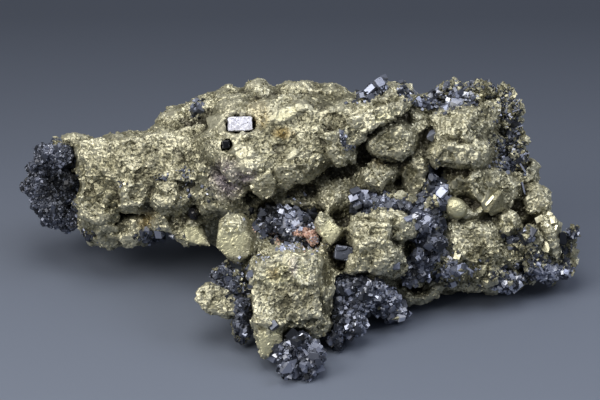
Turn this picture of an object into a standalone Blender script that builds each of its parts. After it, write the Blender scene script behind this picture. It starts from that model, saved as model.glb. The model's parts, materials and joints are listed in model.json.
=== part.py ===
"""A hand-sized cluster of chalcopyrite overgrown in places by dark grey sulphide crystals.

The brassy mass grew as one piece, so it is one solid: lumps joined and worn into a single craggy
skin, with the clear crystals set into it. Each patch of another mineral on it is a solid of its
own. Sizes are in millimetres and are turned into metres when a mesh is made.
"""

import math
import random

import bmesh
import bpy
from mathutils import Matrix, Vector
from mathutils.bvhtree import BVHTree
from mathutils.kdtree import KDTree

MM = 0.001

# The lumps are measured as they are seen from the front, looking down at this angle.
VIEW_TILT = math.radians(30)
# Clear space between the solids of two minerals.
GAP = 0.35
# The grain at which the brassy mass is skinned, and how often the skin is smoothed.
SKIN_GRAIN = 1.1
SKIN_SMOOTHING = 3
# The angular chips that roughen the skin: their spacing and how far they stand out.
CHIP_SPACING = 7.5
CHIP_HEIGHT = 1.5
# Where the skin neither rises nor sinks: this share of the spacing away from a chip's middle.
CHIP_LEVEL = 0.55
SKIN_FACES = 4000
# The patches of grey crystals: the grain of their skin, the spacing and height of the crystals on
# it, and the area that one triangle covers.
PATCH_GRAIN = 0.7
PATCH_SPACING = 3.2
PATCH_HEIGHT = 0.9
PATCH_FACE_AREA = 3.2
# The socket that a patch sits in: its grain, the step in which it is swollen until the gap is
# clear all round, and the area that one triangle covers.
SOCKET_GRAIN = 0.8
SOCKET_STEP = 0.15
SOCKET_FACE_AREA = 6.0
SOCKET_LEAST_FACES = 50
# The share of its triangles that a solid keeps once the cuts are made.
KEPT_SHARE = 0.74
# A box this large cuts everything below the floor, so that every foot is flat.
FLOOR_BOX = 400.0
# A corner this near to the floor rests on it.
FLOOR_REACH = 0.3

SIN, COS = math.sin(VIEW_TILT), math.cos(VIEW_TILT)
RIGHT = Vector((1, 0, 0))
UP_IN_VIEW = Vector((0, SIN, COS))
AWAY = Vector((0, COS, -SIN))
VIEW_AXES = Matrix((RIGHT, UP_IN_VIEW, AWAY)).transposed()


# Forms: each gives the corners of a convex body about two units across.


def pebble(rng, corners=18):
    """A blunt irregular lump with many small facets."""
    golden = math.pi * (3 - math.sqrt(5))
    points = []
    for i in range(corners):
        height = 1 - 2 * (i + 0.5) / corners
        ring = math.sqrt(1 - height * height)
        turn = i * golden
        direction = Vector((ring * math.cos(turn), ring * math.sin(turn), height))
        direction += Vector([rng.gauss(0, 0.13) for _ in range(3)])
        points.append(direction.normalized() * rng.uniform(0.93, 1.12))
    return points


def boulder(rng):
    """A larger lump, with more facets."""
    return pebble(rng, 30)


def knob(rng):
    """A lump with few facets, for the root of a patch of crystals."""
    return pebble(rng, 12)


def grain(rng):
    """A small angular grain with few facets."""
    return pebble(rng, 8)


def block(rng, bevel=0.28):
    """A crystal with six main faces and trimmed corners."""
    points = []
    for corner in [(x, y, z) for x in (-1, 1) for y in (-1, 1) for z in (-1, 1)]:
        for axis in range(3):
            point = Vector(corner) * 0.92
            point[axis] *= 1 - bevel
            points.append(point + Vector([rng.uniform(-0.07, 0.07) for _ in range(3)]))
    return points


def cube(rng):
    """A small block with eight corners."""
    corners = [Vector((x, y, z)) for x in (-1, 1) for y in (-1, 1) for z in (-1, 1)]
    return [c * 0.8 + Vector([rng.uniform(-0.12, 0.12) for _ in range(3)]) for c in corners]


def sphenoid(rng, trim=0.2):
    """A wedge-shaped four-sided crystal with its corners trimmed."""
    corners = [Vector(c) for c in ((1, 1, 1), (1, -1, -1), (-1, 1, -1), (-1, -1, 1))]
    points = []
    for corner in corners:
        for other in corners:
            if other is not corner:
                points.append(corner.lerp(other, trim + rng.uniform(-0.04, 0.04)))
    return points


def tooth(rng):
    """A pointed crystal: broad at its root, drawn to a blunt tip along the second axis."""
    points = []
    for height, radius in ((-1.0, 0.85), (-0.2, 1.0), (0.95, 0.22)):
        start = rng.uniform(0, math.tau)
        for k in range(5):
            turn = start + k * math.tau / 5
            reach = radius * rng.uniform(0.9, 1.1)
            points.append(Vector((reach * math.cos(turn), height, reach * math.sin(turn))))
    return points


def pillar(_rng):
    """A short six-sided prism whose flat end faces the viewer."""
    return [
        Vector((math.cos(k * math.pi / 3), math.sin(k * math.pi / 3), end))
        for k in range(6)
        for end in (-1, 1)
    ]


def box(_rng):
    return [Vector((x, y, z)) for x in (-1, 1) for y in (-1, 1) for z in (-1, 1)]


# Placing


def seen(across, rise, back):
    """The point that shows this far across and up in the front view, and lies this far back."""
    return Vector((across, back, (rise - back * SIN) / COS))


class Lump:
    """One convex body: its centre, the half sizes along its own axes, and its corners."""

    def __init__(self, centre, half, form, seed, axes):
        rng = random.Random(seed)
        self.centre = centre
        self.corners = [
            axes @ Vector([p * h for p, h in zip(point, half)]) for point in form(rng)
        ]

    def points(self):
        return [self.centre + corner for corner in self.corners]


class Crystal:
    """One convex crystal given by its corners as seen: across, rise, back."""

    def __init__(self, corners):
        self.placed = [seen(*corner) for corner in corners]

    def points(self):
        return self.placed


def lumps_seen(name, rows):
    """Lumps given as they show: across, rise, back, half width, half height, half depth, roll, form."""
    made = []
    for index, (across, rise, back, width, height, depth, roll, form) in enumerate(rows):
        axes = VIEW_AXES @ Matrix.Rotation(math.radians(roll), 3, "Z")
        made.append(
            Lump(seen(across, rise, back), (width, height, depth), form, f"{name} {index}", axes)
        )
    return made


def lumps_at(name, rows):
    """Lumps given by their place over the floor: x, y, z, half sizes along x, y and z, form."""
    return [
        Lump(Vector((x, y, z)), (rx, ry, rz), form, f"{name} {index}", Matrix.Identity(3))
        for index, (x, y, z, rx, ry, rz, form) in enumerate(rows)
    ]


# Solids


def hull_mesh(name, points):
    """A closed convex mesh around the points, in metres."""
    bm = bmesh.new()
    for point in points:
        bm.verts.new(point * MM)
    made = bmesh.ops.convex_hull(bm, input=bm.verts)
    inside = {v for v in made["geom_interior"] if isinstance(v, bmesh.types.BMVert)}
    bmesh.ops.delete(bm, geom=list(inside), context="VERTS")
    bmesh.ops.triangulate(bm, faces=bm.faces)
    bmesh.ops.recalc_face_normals(bm, faces=bm.faces)
    mesh = bpy.data.meshes.new(name)
    bm.to_mesh(mesh)
    bm.free()
    return mesh


def helper(name, mesh):
    made = bpy.data.objects.new(name, mesh)
    made.hide_render = True
    made.display_type = "WIRE"
    return made


def modified(mesh, kind, **settings):
    """The mesh after one modifier of this kind."""
    host = helper("host", mesh)
    bpy.context.scene.collection.objects.link(host)
    modifier = host.modifiers.new("change", kind)
    for name, value in settings.items():
        setattr(modifier, name, value)
    graph = bpy.context.evaluated_depsgraph_get()
    made = bpy.data.meshes.new_from_object(host.evaluated_get(graph))
    bpy.data.objects.remove(host)
    return made


def combine(mesh, tools, operation):
    """The mesh joined with, or cut by, the tool meshes."""
    if not tools:
        return mesh
    group = bpy.data.collections.new("tools")
    bpy.context.scene.collection.children.link(group)
    for tool in tools:
        group.objects.link(helper("tool", tool))
    made = modified(
        mesh, "BOOLEAN", operation=operation, solver="EXACT", operand_type="COLLECTION", collection=group
    )
    for tool in list(group.objects):
        bpy.data.objects.remove(tool)
    bpy.data.collections.remove(group)
    return made


def hulls(lumps):
    return [hull_mesh("tool", lump.points()) for lump in lumps]


def joined(lumps):
    first, *others = hulls(lumps)
    return combine(first, others, "UNION")


def reskinned(mesh, grain_size, smoothing):
    """The mesh with an even skin of small faces over its outside."""
    made = modified(mesh, "REMESH", mode="VOXEL", voxel_size=grain_size * MM)
    if smoothing:
        made = modified(made, "SMOOTH", factor=0.5, iterations=smoothing)
    return made


def thinned(mesh, faces):
    """The mesh with its faces merged until about this many triangles are left."""
    mesh = modified(mesh, "TRIANGULATE")
    return modified(mesh, "DECIMATE", decimate_type="COLLAPSE", ratio=min(1, faces / len(mesh.polygons)))


def chipped(mesh, spacing, height, seed, nearby=5):
    """The skin pushed in and out as if blunt cubes of random tilt were packed under it."""
    rng = random.Random(seed)
    corners = [vert.co / MM for vert in mesh.vertices]
    low = [min(c[k] for c in corners) - spacing for k in range(3)]
    steps = [math.ceil((max(c[k] for c in corners) + spacing - low[k]) / spacing) for k in range(3)]
    seats = []
    for i in range(steps[0]):
        for j in range(steps[1]):
            for k in range(steps[2]):
                cell = Vector((i + rng.random(), j + rng.random(), k + rng.random()))
                tilt = [rng.uniform(0, math.tau) for _ in range(3)]
                turn = Matrix.Rotation(tilt[0], 3, "X") @ Matrix.Rotation(tilt[1], 3, "Y")
                turn = turn @ Matrix.Rotation(tilt[2], 3, "Z")
                seats.append((Vector(low) + cell * spacing, turn, rng.uniform(0.8, 1.2)))
    tree = KDTree(len(seats))
    for index, (place, _turn, _size) in enumerate(seats):
        tree.insert(place, index)
    tree.balance()
    moved = []
    for vert, corner in zip(mesh.vertices, corners):
        nearest = []
        for _place, index, _distance in tree.find_n(corner, nearby):
            place, turn, size = seats[index]
            offset = turn @ (corner - place)
            nearest.append(max(abs(value) for value in offset) / size)
        rise = CHIP_LEVEL - min(nearest) / spacing
        moved.append(vert.co + vert.normal * (rise * 2 * height * MM))
    for vert, place in zip(mesh.vertices, moved):
        vert.co = place
    return mesh


def area_of(mesh):
    return sum(face.area for face in mesh.polygons) / MM**2


def clearance(mesh, cutter):
    """The least distance between the two surfaces, tried from the corners of each."""
    least = math.inf
    for corners, other in ((mesh, cutter), (cutter, mesh)):
        faces = [tuple(face.vertices) for face in other.polygons]
        tree = BVHTree.FromPolygons([vert.co for vert in other.vertices], faces)
        for vert in corners.vertices:
            least = min(least, tree.find_nearest(vert.co)[3])
    return least / MM


def socket(mesh):
    """The outside of the mesh, swollen and drawn with few faces, to cut a seat for it."""
    swell = GAP
    while True:
        swell += SOCKET_STEP
        skin = reskinned(mesh, SOCKET_GRAIN, 2)
        for vert, normal in [(vert, vert.normal.copy()) for vert in skin.vertices]:
            vert.co += normal * (swell * MM)
        skin = reskinned(skin, SOCKET_GRAIN, 1)
        skin = thinned(skin, max(SOCKET_LEAST_FACES, area_of(skin) / SOCKET_FACE_AREA))
        if clearance(mesh, skin) > GAP:
            return skin


def islands(bm):
    """The vertices of each connected piece."""
    left = set(bm.verts)
    found = []
    while left:
        piece = [left.pop()]
        for vert in piece:
            for edge in vert.link_edges:
                other = edge.other_vert(vert)
                if other in left:
                    left.remove(other)
                    piece.append(other)
        found.append(piece)
    return found


def reach(verts):
    low = [min(v.co[k] for v in verts) for k in range(3)]
    high = [max(v.co[k] for v in verts) for k in range(3)]
    return math.prod(h - l for l, h in zip(low, high))


def tidy(mesh):
    """Drops stray crumbs and sealed hollows and splits the faces into triangles."""
    bm = bmesh.new()
    bm.from_mesh(mesh)
    bmesh.ops.triangulate(bm, faces=bm.faces)
    pieces = sorted(islands(bm), key=reach)
    for piece in pieces[:-1]:
        bmesh.ops.delete(bm, geom=piece, context="VERTS")
    bm.to_mesh(mesh)
    bm.free()
    return mesh


def levelled(mesh):
    """The mesh with the corners that are a hair off the floor set on it."""
    for vert in mesh.vertices:
        if abs(vert.co.z) < FLOOR_REACH * MM:
            vert.co.z = 0
    return mesh


def fitted(mesh, sockets):
    """The mesh cut level with the floor and seated round the pieces that are already there."""
    floor = Lump(Vector((0, 0, -FLOOR_BOX)), (FLOOR_BOX,) * 3, box, 0, Matrix.Identity(3))
    mesh = combine(mesh, hulls([floor]), "DIFFERENCE")
    mesh = combine(mesh, [cutter.copy() for cutter in sockets], "DIFFERENCE")
    mesh = tidy(mesh)
    return levelled(thinned(mesh, KEPT_SHARE * len(mesh.polygons)))


# The chalcopyrite, measured as seen: across, rise, back, half width, height, depth, roll, form

ARM = [
    (-66, 33, 27, 8, 9, 9, 0, pebble),
    (-52, 36, 28, 18, 11, 12, -5, boulder),
    (-62.5, 31, 24, 7.5, 12, 11, 0, boulder),
    (-64, 44.5, 28, 7, 5, 9, 0, pebble),
    (-67.5, 48.6, 29, 3.8, 1.8, 4, -16, pebble),
    (-73, 47.6, 29, 5, 1.2, 3.4, 5, pebble),
    (-55, 46.5, 30, 11, 3.6, 8, 0, pebble),
    (-48, 47.5, 30, 6, 3.4, 6, 0, pebble),
    (-59, 23, 19, 7.6, 7, 8, 0, boulder),
    (-47, 24, 19, 7, 5, 5, 0, pebble),
    (-55.5, 18.6, 17, 6, 4, 6, 0, pebble),
    (-50.5, 32, 12, 5.4, 5.2, 5.5, 0, pebble),
    (-39, 32, 12, 6.6, 6.6, 6.5, 0, boulder),
    (-52, 41, 19, 14, 4.2, 7, -24, pebble),
    (-50, 19.5, 20, 6.5, 4, 6, 0, pebble),
    (-41, 24, 11, 6, 3.4, 5, -8, pebble),
    (-34.5, 20.8, 11, 6, 4.2, 5, 0, pebble),
    (-42, 45, 24, 8, 6.5, 9, 0, pebble),
    (-38.5, 53, 29, 6.5, 5, 7, 20, pebble),
    (-30, 44, 20, 8.5, 8, 9, 0, boulder),
    (-29, 57, 29, 8, 4.8, 8, 25, pebble),
    (-22.5, 61.5, 31, 5, 3, 6, 10, pebble),
    (-32, 36, 15, 6.5, 6, 7, 0, pebble),
    (-30, 27.5, 13, 8, 4.5, 6, 0, pebble),
]
ARM_HOLLOWS = [
    (-61.5, 35, 13.5, 6.4, 8.5, 7, -20, boulder),
    (-50.5, 24.5, 10, 4.4, 3.8, 6, 0, pebble),
]

DOME = [
    (-9, 46, 20, 20, 15, 15, 0, boulder),
    (-12, 62.5, 29, 5, 3.6, 6, 0, pebble),
    (-1, 62.5, 30, 8, 3.6, 7, 0, pebble),
    (10, 60, 28, 10, 4.6, 8, -12, pebble),
    (-22, 45, 14, 8, 10, 8, 0, pebble),
    (-20, 55, 20, 8, 6, 8, 20, pebble),
    (-5, 55, 19, 10, 6, 8, 15, pebble),
    (-15.5, 41, 6, 9, 7, 7, 10, boulder),
    (-3, 40.5, 5, 9, 6.5, 7, 15, boulder),
    (-11, 34.8, 4, 5, 3.2, 4.5, 0, pebble),
    (-23, 34.5, 9, 6.5, 4.6, 6, 0, pebble),
    (4, 47, 11, 9, 8, 8, 0, boulder),
    (9, 51, 14, 9, 7, 8, 20, boulder),
    (12.6, 45.5, 8, 3.8, 5.4, 4.5, 10, pebble),
    (19, 56.5, 21, 12, 5.6, 9, 20, boulder),
    (28, 61.2, 25, 6.6, 3.6, 7, 12, pebble),
    (21.5, 54.6, 13, 7.5, 2.8, 5.5, 26, pebble),
    (28.5, 58.8, 18, 6.6, 2.4, 5.5, 24, pebble),
    (14.5, 50, 9.5, 6, 4, 5, 30, pebble),
]

UNDER_THE_LEDGE = [
    (28, 46.6, 19, 11, 6.8, 9, 0, boulder),
    (27, 47.0, 15.5, 9, 4.8, 6, 8, boulder),
    (22, 37.5, 9, 6.5, 4.8, 6, 0, pebble),
    (11, 32.5, 8, 7, 5.4, 6, 25, pebble),
    (9, 30, 4.5, 4.6, 3.6, 4, 0, pebble),
    (36, 51, 21, 4.5, 6, 6, 0, pebble),
    (36.6, 56.6, 27, 5.2, 5, 6, 0, pebble),
    (33, 53, 23, 6, 5, 6, 0, pebble),
    (-4, 27, 11, 13, 6, 8, 0, boulder),
    (-3, 29, 8, 11, 3, 5, 0, pebble),
    (-22, 28.5, 9, 9, 3, 6, 0, pebble),
    (16, 42, 17, 9, 8, 8, 0, pebble),
    (18, 33, 11, 7, 4, 6, 0, pebble),
    (6, 38, 18, 14, 9, 8, 0, pebble),
    (30, 35, 20, 12, 9, 8, 0, boulder),
    (0, 32, 16, 16, 8, 8, 0, boulder),
]

RIGHT_PEAK = [
    (46, 51, 24, 9, 5, 7, 0, pebble),
    (54, 32, 24, 18, 18, 15, 0, boulder),
    (47, 56.0, 28, 6.5, 4.6, 6, 0, pebble),
    (42, 58.5, 30, 4.5, 3.4, 5, 0, pebble),
    (48, 61.5, 33, 10, 3.6, 7, 0, pebble),
    (57.5, 56.5, 30, 6.5, 7.5, 7, 0, pebble),
    (60.5, 60, 32, 4, 4.5, 5, 0, pebble),
    (47, 46, 17.5, 8.0, 3.2, 6, -3, pebble),
    (55.5, 49, 20, 4, 4, 4, 0, pebble),
    (52.5, 38, 16, 9, 6, 7, 0, boulder),
    (44.5, 36, 14, 3.4, 5, 4, 0, pebble),
    (43, 25.5, 6, 3.4, 3.2, 3, 0, pebble),
    (46, 20.5, 3, 5.4, 3.6, 4, 0, pebble),
    (55, 22.5, 8, 8, 4.5, 6, 0, pebble),
    (71, 29.5, 14, 5, 5.8, 5, 0, pebble),
    (52.5, 13, 1, 9, 5.5, 7, 0, boulder),
    (49, 14, -2, 5, 3.6, 4, 0, pebble),
    (64.5, 14.5, 5, 8, 5.4, 6, 0, pebble),
    (63, 7, 5, 6, 3.6, 5, 0, pebble),
    (74, 15, 9, 5, 6, 5, 0, pebble),
    (52, 5.8, 4, 15, 3, 8, 0, boulder),
    (66, 38, 21, 5.5, 7, 7, 0, pebble),
    (62.5, 47, 25, 5.5, 6, 6, 0, pebble),
]
RIGHT_HOLLOWS = [
    (51.5, 54, 21, 1.8, 3.6, 4, -28, pebble),
    (60, 50.5, 19, 3.6, 2.4, 3.6, 0, pebble),
]

VALLEY = [
    (36, 25, 9, 8, 10, 8, 0, boulder),
    (38, 14, 4, 7, 8, 8, 0, pebble),
    (1, 19.5, 1, 9, 5.5, 7, 0, boulder),
    (-8, 21, 3, 8, 5, 7, 0, pebble),
    (11, 14.5, -3, 6, 5, 6, 0, pebble),
    (20, 15, 4, 22, 11, 12, 0, boulder),
    (22.8, 22.0, -6, 9.2, 4.6, 7, 0, boulder),
    (24, 23.4, -5, 8, 3.6, 6, 0, block),
    (21.5, 14.0, -11, 8.4, 5.2, 7, 0, boulder),
    (27, 10.5, -10, 5, 3.6, 4.5, 0, pebble),
    (15.5, 11.3, -12, 3, 3.8, 4, 0, pebble),
    (41, 4.3, -3, 5, 2.0, 5, 25, pebble),
    (37, 1.2, -5, 5, 2.2, 5, 20, pebble),
    (28.5, -0.5, -8, 6, 3, 6, 20, pebble),
    (20, 1, -6, 12, 6, 8, 10, boulder),
]

FOOT = [
    (-2, 5, -12, 15, 12, 14, 0, boulder),
    (-24, 0.4, -21, 8.4, 3.7, 4.5, -24, boulder),
    (-16, 3, -16, 7, 5, 6, 0, pebble),
    (-18.5, -2, -20.5, 5, 4.6, 5, 0, pebble),
    (-8, 10, -19, 6, 5, 5, 0, pebble),
    (1.5, 9.5, -18, 6.8, 6, 6.5, 0, boulder),
    (0.5, 0.8, -23, 7.4, 5.2, 6.5, 0, boulder),
    (-10, 1, -24, 6, 5.4, 6, 0, pebble),
    (7.6, 2, -16, 4, 9.4, 6, 0, pebble),
    (-9.5, -5.5, -31, 6, 3.6, 5, 8, pebble),
    (5.5, -7.5, -24, 4.4, 3, 5, 0, pebble),
    (-11, 14.5, -9, 6, 3.6, 6, 0, pebble),
    (-4, 14, -6, 8, 3.5, 6, 0, pebble),
    (-2, -6, -26, 8, 6, 8, 0, boulder),
]

# The back and the underside, by their place over the floor

BACK = [
    (-56, 33, 19, 13, 8, 12, boulder),
    (-42, 35, 22, 20, 8, 14, boulder),
    (-22, 36, 27, 18, 9, 20, boulder),
    (2, 37, 28, 22, 9, 22, boulder),
    (26, 36, 28, 19, 9, 21, boulder),
    (48, 34, 26, 17, 10, 22, boulder),
    (61, 30, 20, 10, 9, 17, boulder),
    (-20, 33, 12, 22, 10, 13, boulder),
    (6, 28, 15, 26, 14, 17, boulder),
    (38, 28, 13, 24, 13, 14, boulder),
    (60, 21, 10, 12, 12, 11, boulder),
    (69, 16, 15, 6, 8, 10, pebble),
    (12, 4, 8, 17, 16, 10, boulder),
    (40, 10, 8, 17, 10, 10, boulder),
    (16, 14, 26, 18, 12, 12, boulder),
]

# The clear crystals of the same mineral, by their corners as seen: across, rise, back

FOOT_WEDGE = Crystal([
    (-23.2, 24.6, -12.5), (-25.2, 16.4, -13.5), (-19.2, 11.0, -14.5), (-15.4, 11.8, -13.5),
    (-14.2, 16.8, -13), (-17.6, 23.4, -13.5), (-22.0, 26.4, -9), (-17.6, 26.6, -7),
    (-12.4, 21.8, -6.5), (-12.9, 16.0, -7.5), (-22, 20, -2), (-15, 19, 0), (-17, 12, -6),
])
VALLEY_RHOMB = Crystal([
    (5.2, 25.8, -5), (9.2, 23.6, -6.5), (13.6, 20.4, -6), (10.0, 16.3, -8), (6.2, 19.6, -8.5),
    (2.8, 22.4, -5), (7, 25, 0), (13, 21, 0), (4, 17, -1), (10, 15, -2),
])
PEAK_TOP_BLOCK = Crystal([
    (41.6, 59.6, 22), (46.5, 60.4, 22), (51.4, 58.8, 22), (52.4, 56.0, 21.5), (49.8, 52.4, 20.5),
    (45.6, 50.6, 21), (41.4, 54.6, 21.5), (47.4, 56.6, 19.4), (42, 58, 30), (51, 57, 30), (46, 52, 28),
])
PEAK_MIDDLE_BLOCK = Crystal([
    (38.8, 48.2, 12.4), (45.0, 49.4, 13.6), (54.4, 48.4, 13.4), (56.4, 44.4, 12.4), (51.0, 42.4, 10.2),
    (43.6, 41.8, 8.8), (39.4, 42.2, 9.2), (38.0, 45.6, 10.2), (44.4, 46.0, 8.6), (52.6, 45.8, 9.8),
    (41, 47, 22), (54, 47, 22), (42, 43, 20), (54, 43, 20),
])
PEAK_WEDGE = Crystal([
    (60.4, 38.2, 14), (61.4, 36.0, 10), (57.2, 27.4, 7.5), (55.8, 27.0, 9), (55.6, 33.5, 12),
    (66.0, 34.4, 13), (66.4, 31.4, 13), (64.6, 28.6, 12), (59.8, 26.0, 9.5),
    (58, 36, 22), (66, 35, 22), (60, 27, 20),
])
PEAK_PEBBLE = Crystal([
    (43.6, 29.6, 4.5), (46.6, 30.6, 4.5), (49.0, 29.0, 4), (50.2, 26.2, 4), (48.8, 24.4, 3),
    (44.6, 24.2, 2), (41.8, 25.4, 3), (42.0, 27.8, 3.6), (45.4, 28.2, 0.4), (47.0, 26.0, -0.2),
    (44.4, 25.6, 0.2), (43, 27, 10), (49, 27, 10),
])
PEAK_LOWER_FACET = Crystal([
    (61.0, 26.6, 6), (65.4, 26.2, 7), (66.0, 23.6, 7), (64.2, 19.8, 4), (61.6, 19.4, 4),
    (60.6, 23.4, 3.5), (63.2, 25.0, 1.5), (64.0, 21.6, 1.8), (62, 24, 12), (65, 21, 12),
])
FOOT_TOOTH = Crystal([
    (-12.6, -6.6, -33), (-5.2, -6.2, -32), (-4.6, -10.2, -32), (-8.4, -15.0, -37),
    (-9.8, -17.0, -38), (-11.8, -16.4, -38), (-12.8, -11.6, -34), (-9.0, -8.0, -37.4),
    (-9.6, -13.0, -39), (-12, -10, -30), (-6, -10, -28),
])
ARM_TIP = Crystal([
    (-36.5, 17.2, 9), (-33, 23.6, 8), (-30.6, 25.2, 9), (-26.6, 16.6, 9), (-29.4, 18.4, 7.2),
    (-33, 16.4, 8), (-38, 20, 11), (-31, 22.4, 14), (-28.4, 18.6, 12),
])
BRIGHT_CRYSTALS = [
    (73.9, 18.3, 4, 2.3, 2.8, 3, 12, block),
    (73.2, 14.6, 4.4, 2.2, 1.9, 2.6, 30, block),
    (73.4, 23.4, 7, 2.8, 2.2, 3, 8, block),
    (76.6, 21.6, 8, 1.8, 2.4, 2.6, -10, block),
    (46.9, 14.1, -5.6, 1.9, 1.8, 2, 10, block),
    (-10.2, -4.6, -35, 2.0, 1.8, 2, 20, cube),
]
CRYSTALS = [
    FOOT_WEDGE, VALLEY_RHOMB, PEAK_TOP_BLOCK, PEAK_MIDDLE_BLOCK, PEAK_WEDGE, PEAK_PEBBLE,
    PEAK_LOWER_FACET, FOOT_TOOTH, ARM_TIP,
]
BLUNT_CRYSTALS = [
    (34, 38, 11, 4.2, 6.8, 5, 180, tooth),
    (31, 21.6, -7, 3.7, 3.7, 3.8, 0, boulder),
    (15.2, 10.8, -14, 2.4, 3.2, 3, 0, pebble),
    (53.8, 36.4, 12, 5, 3.4, 4, -20, sphenoid),
]

# The dark grey crystal patches: the lumps under each as seen, and the larger crystals set into it

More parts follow.
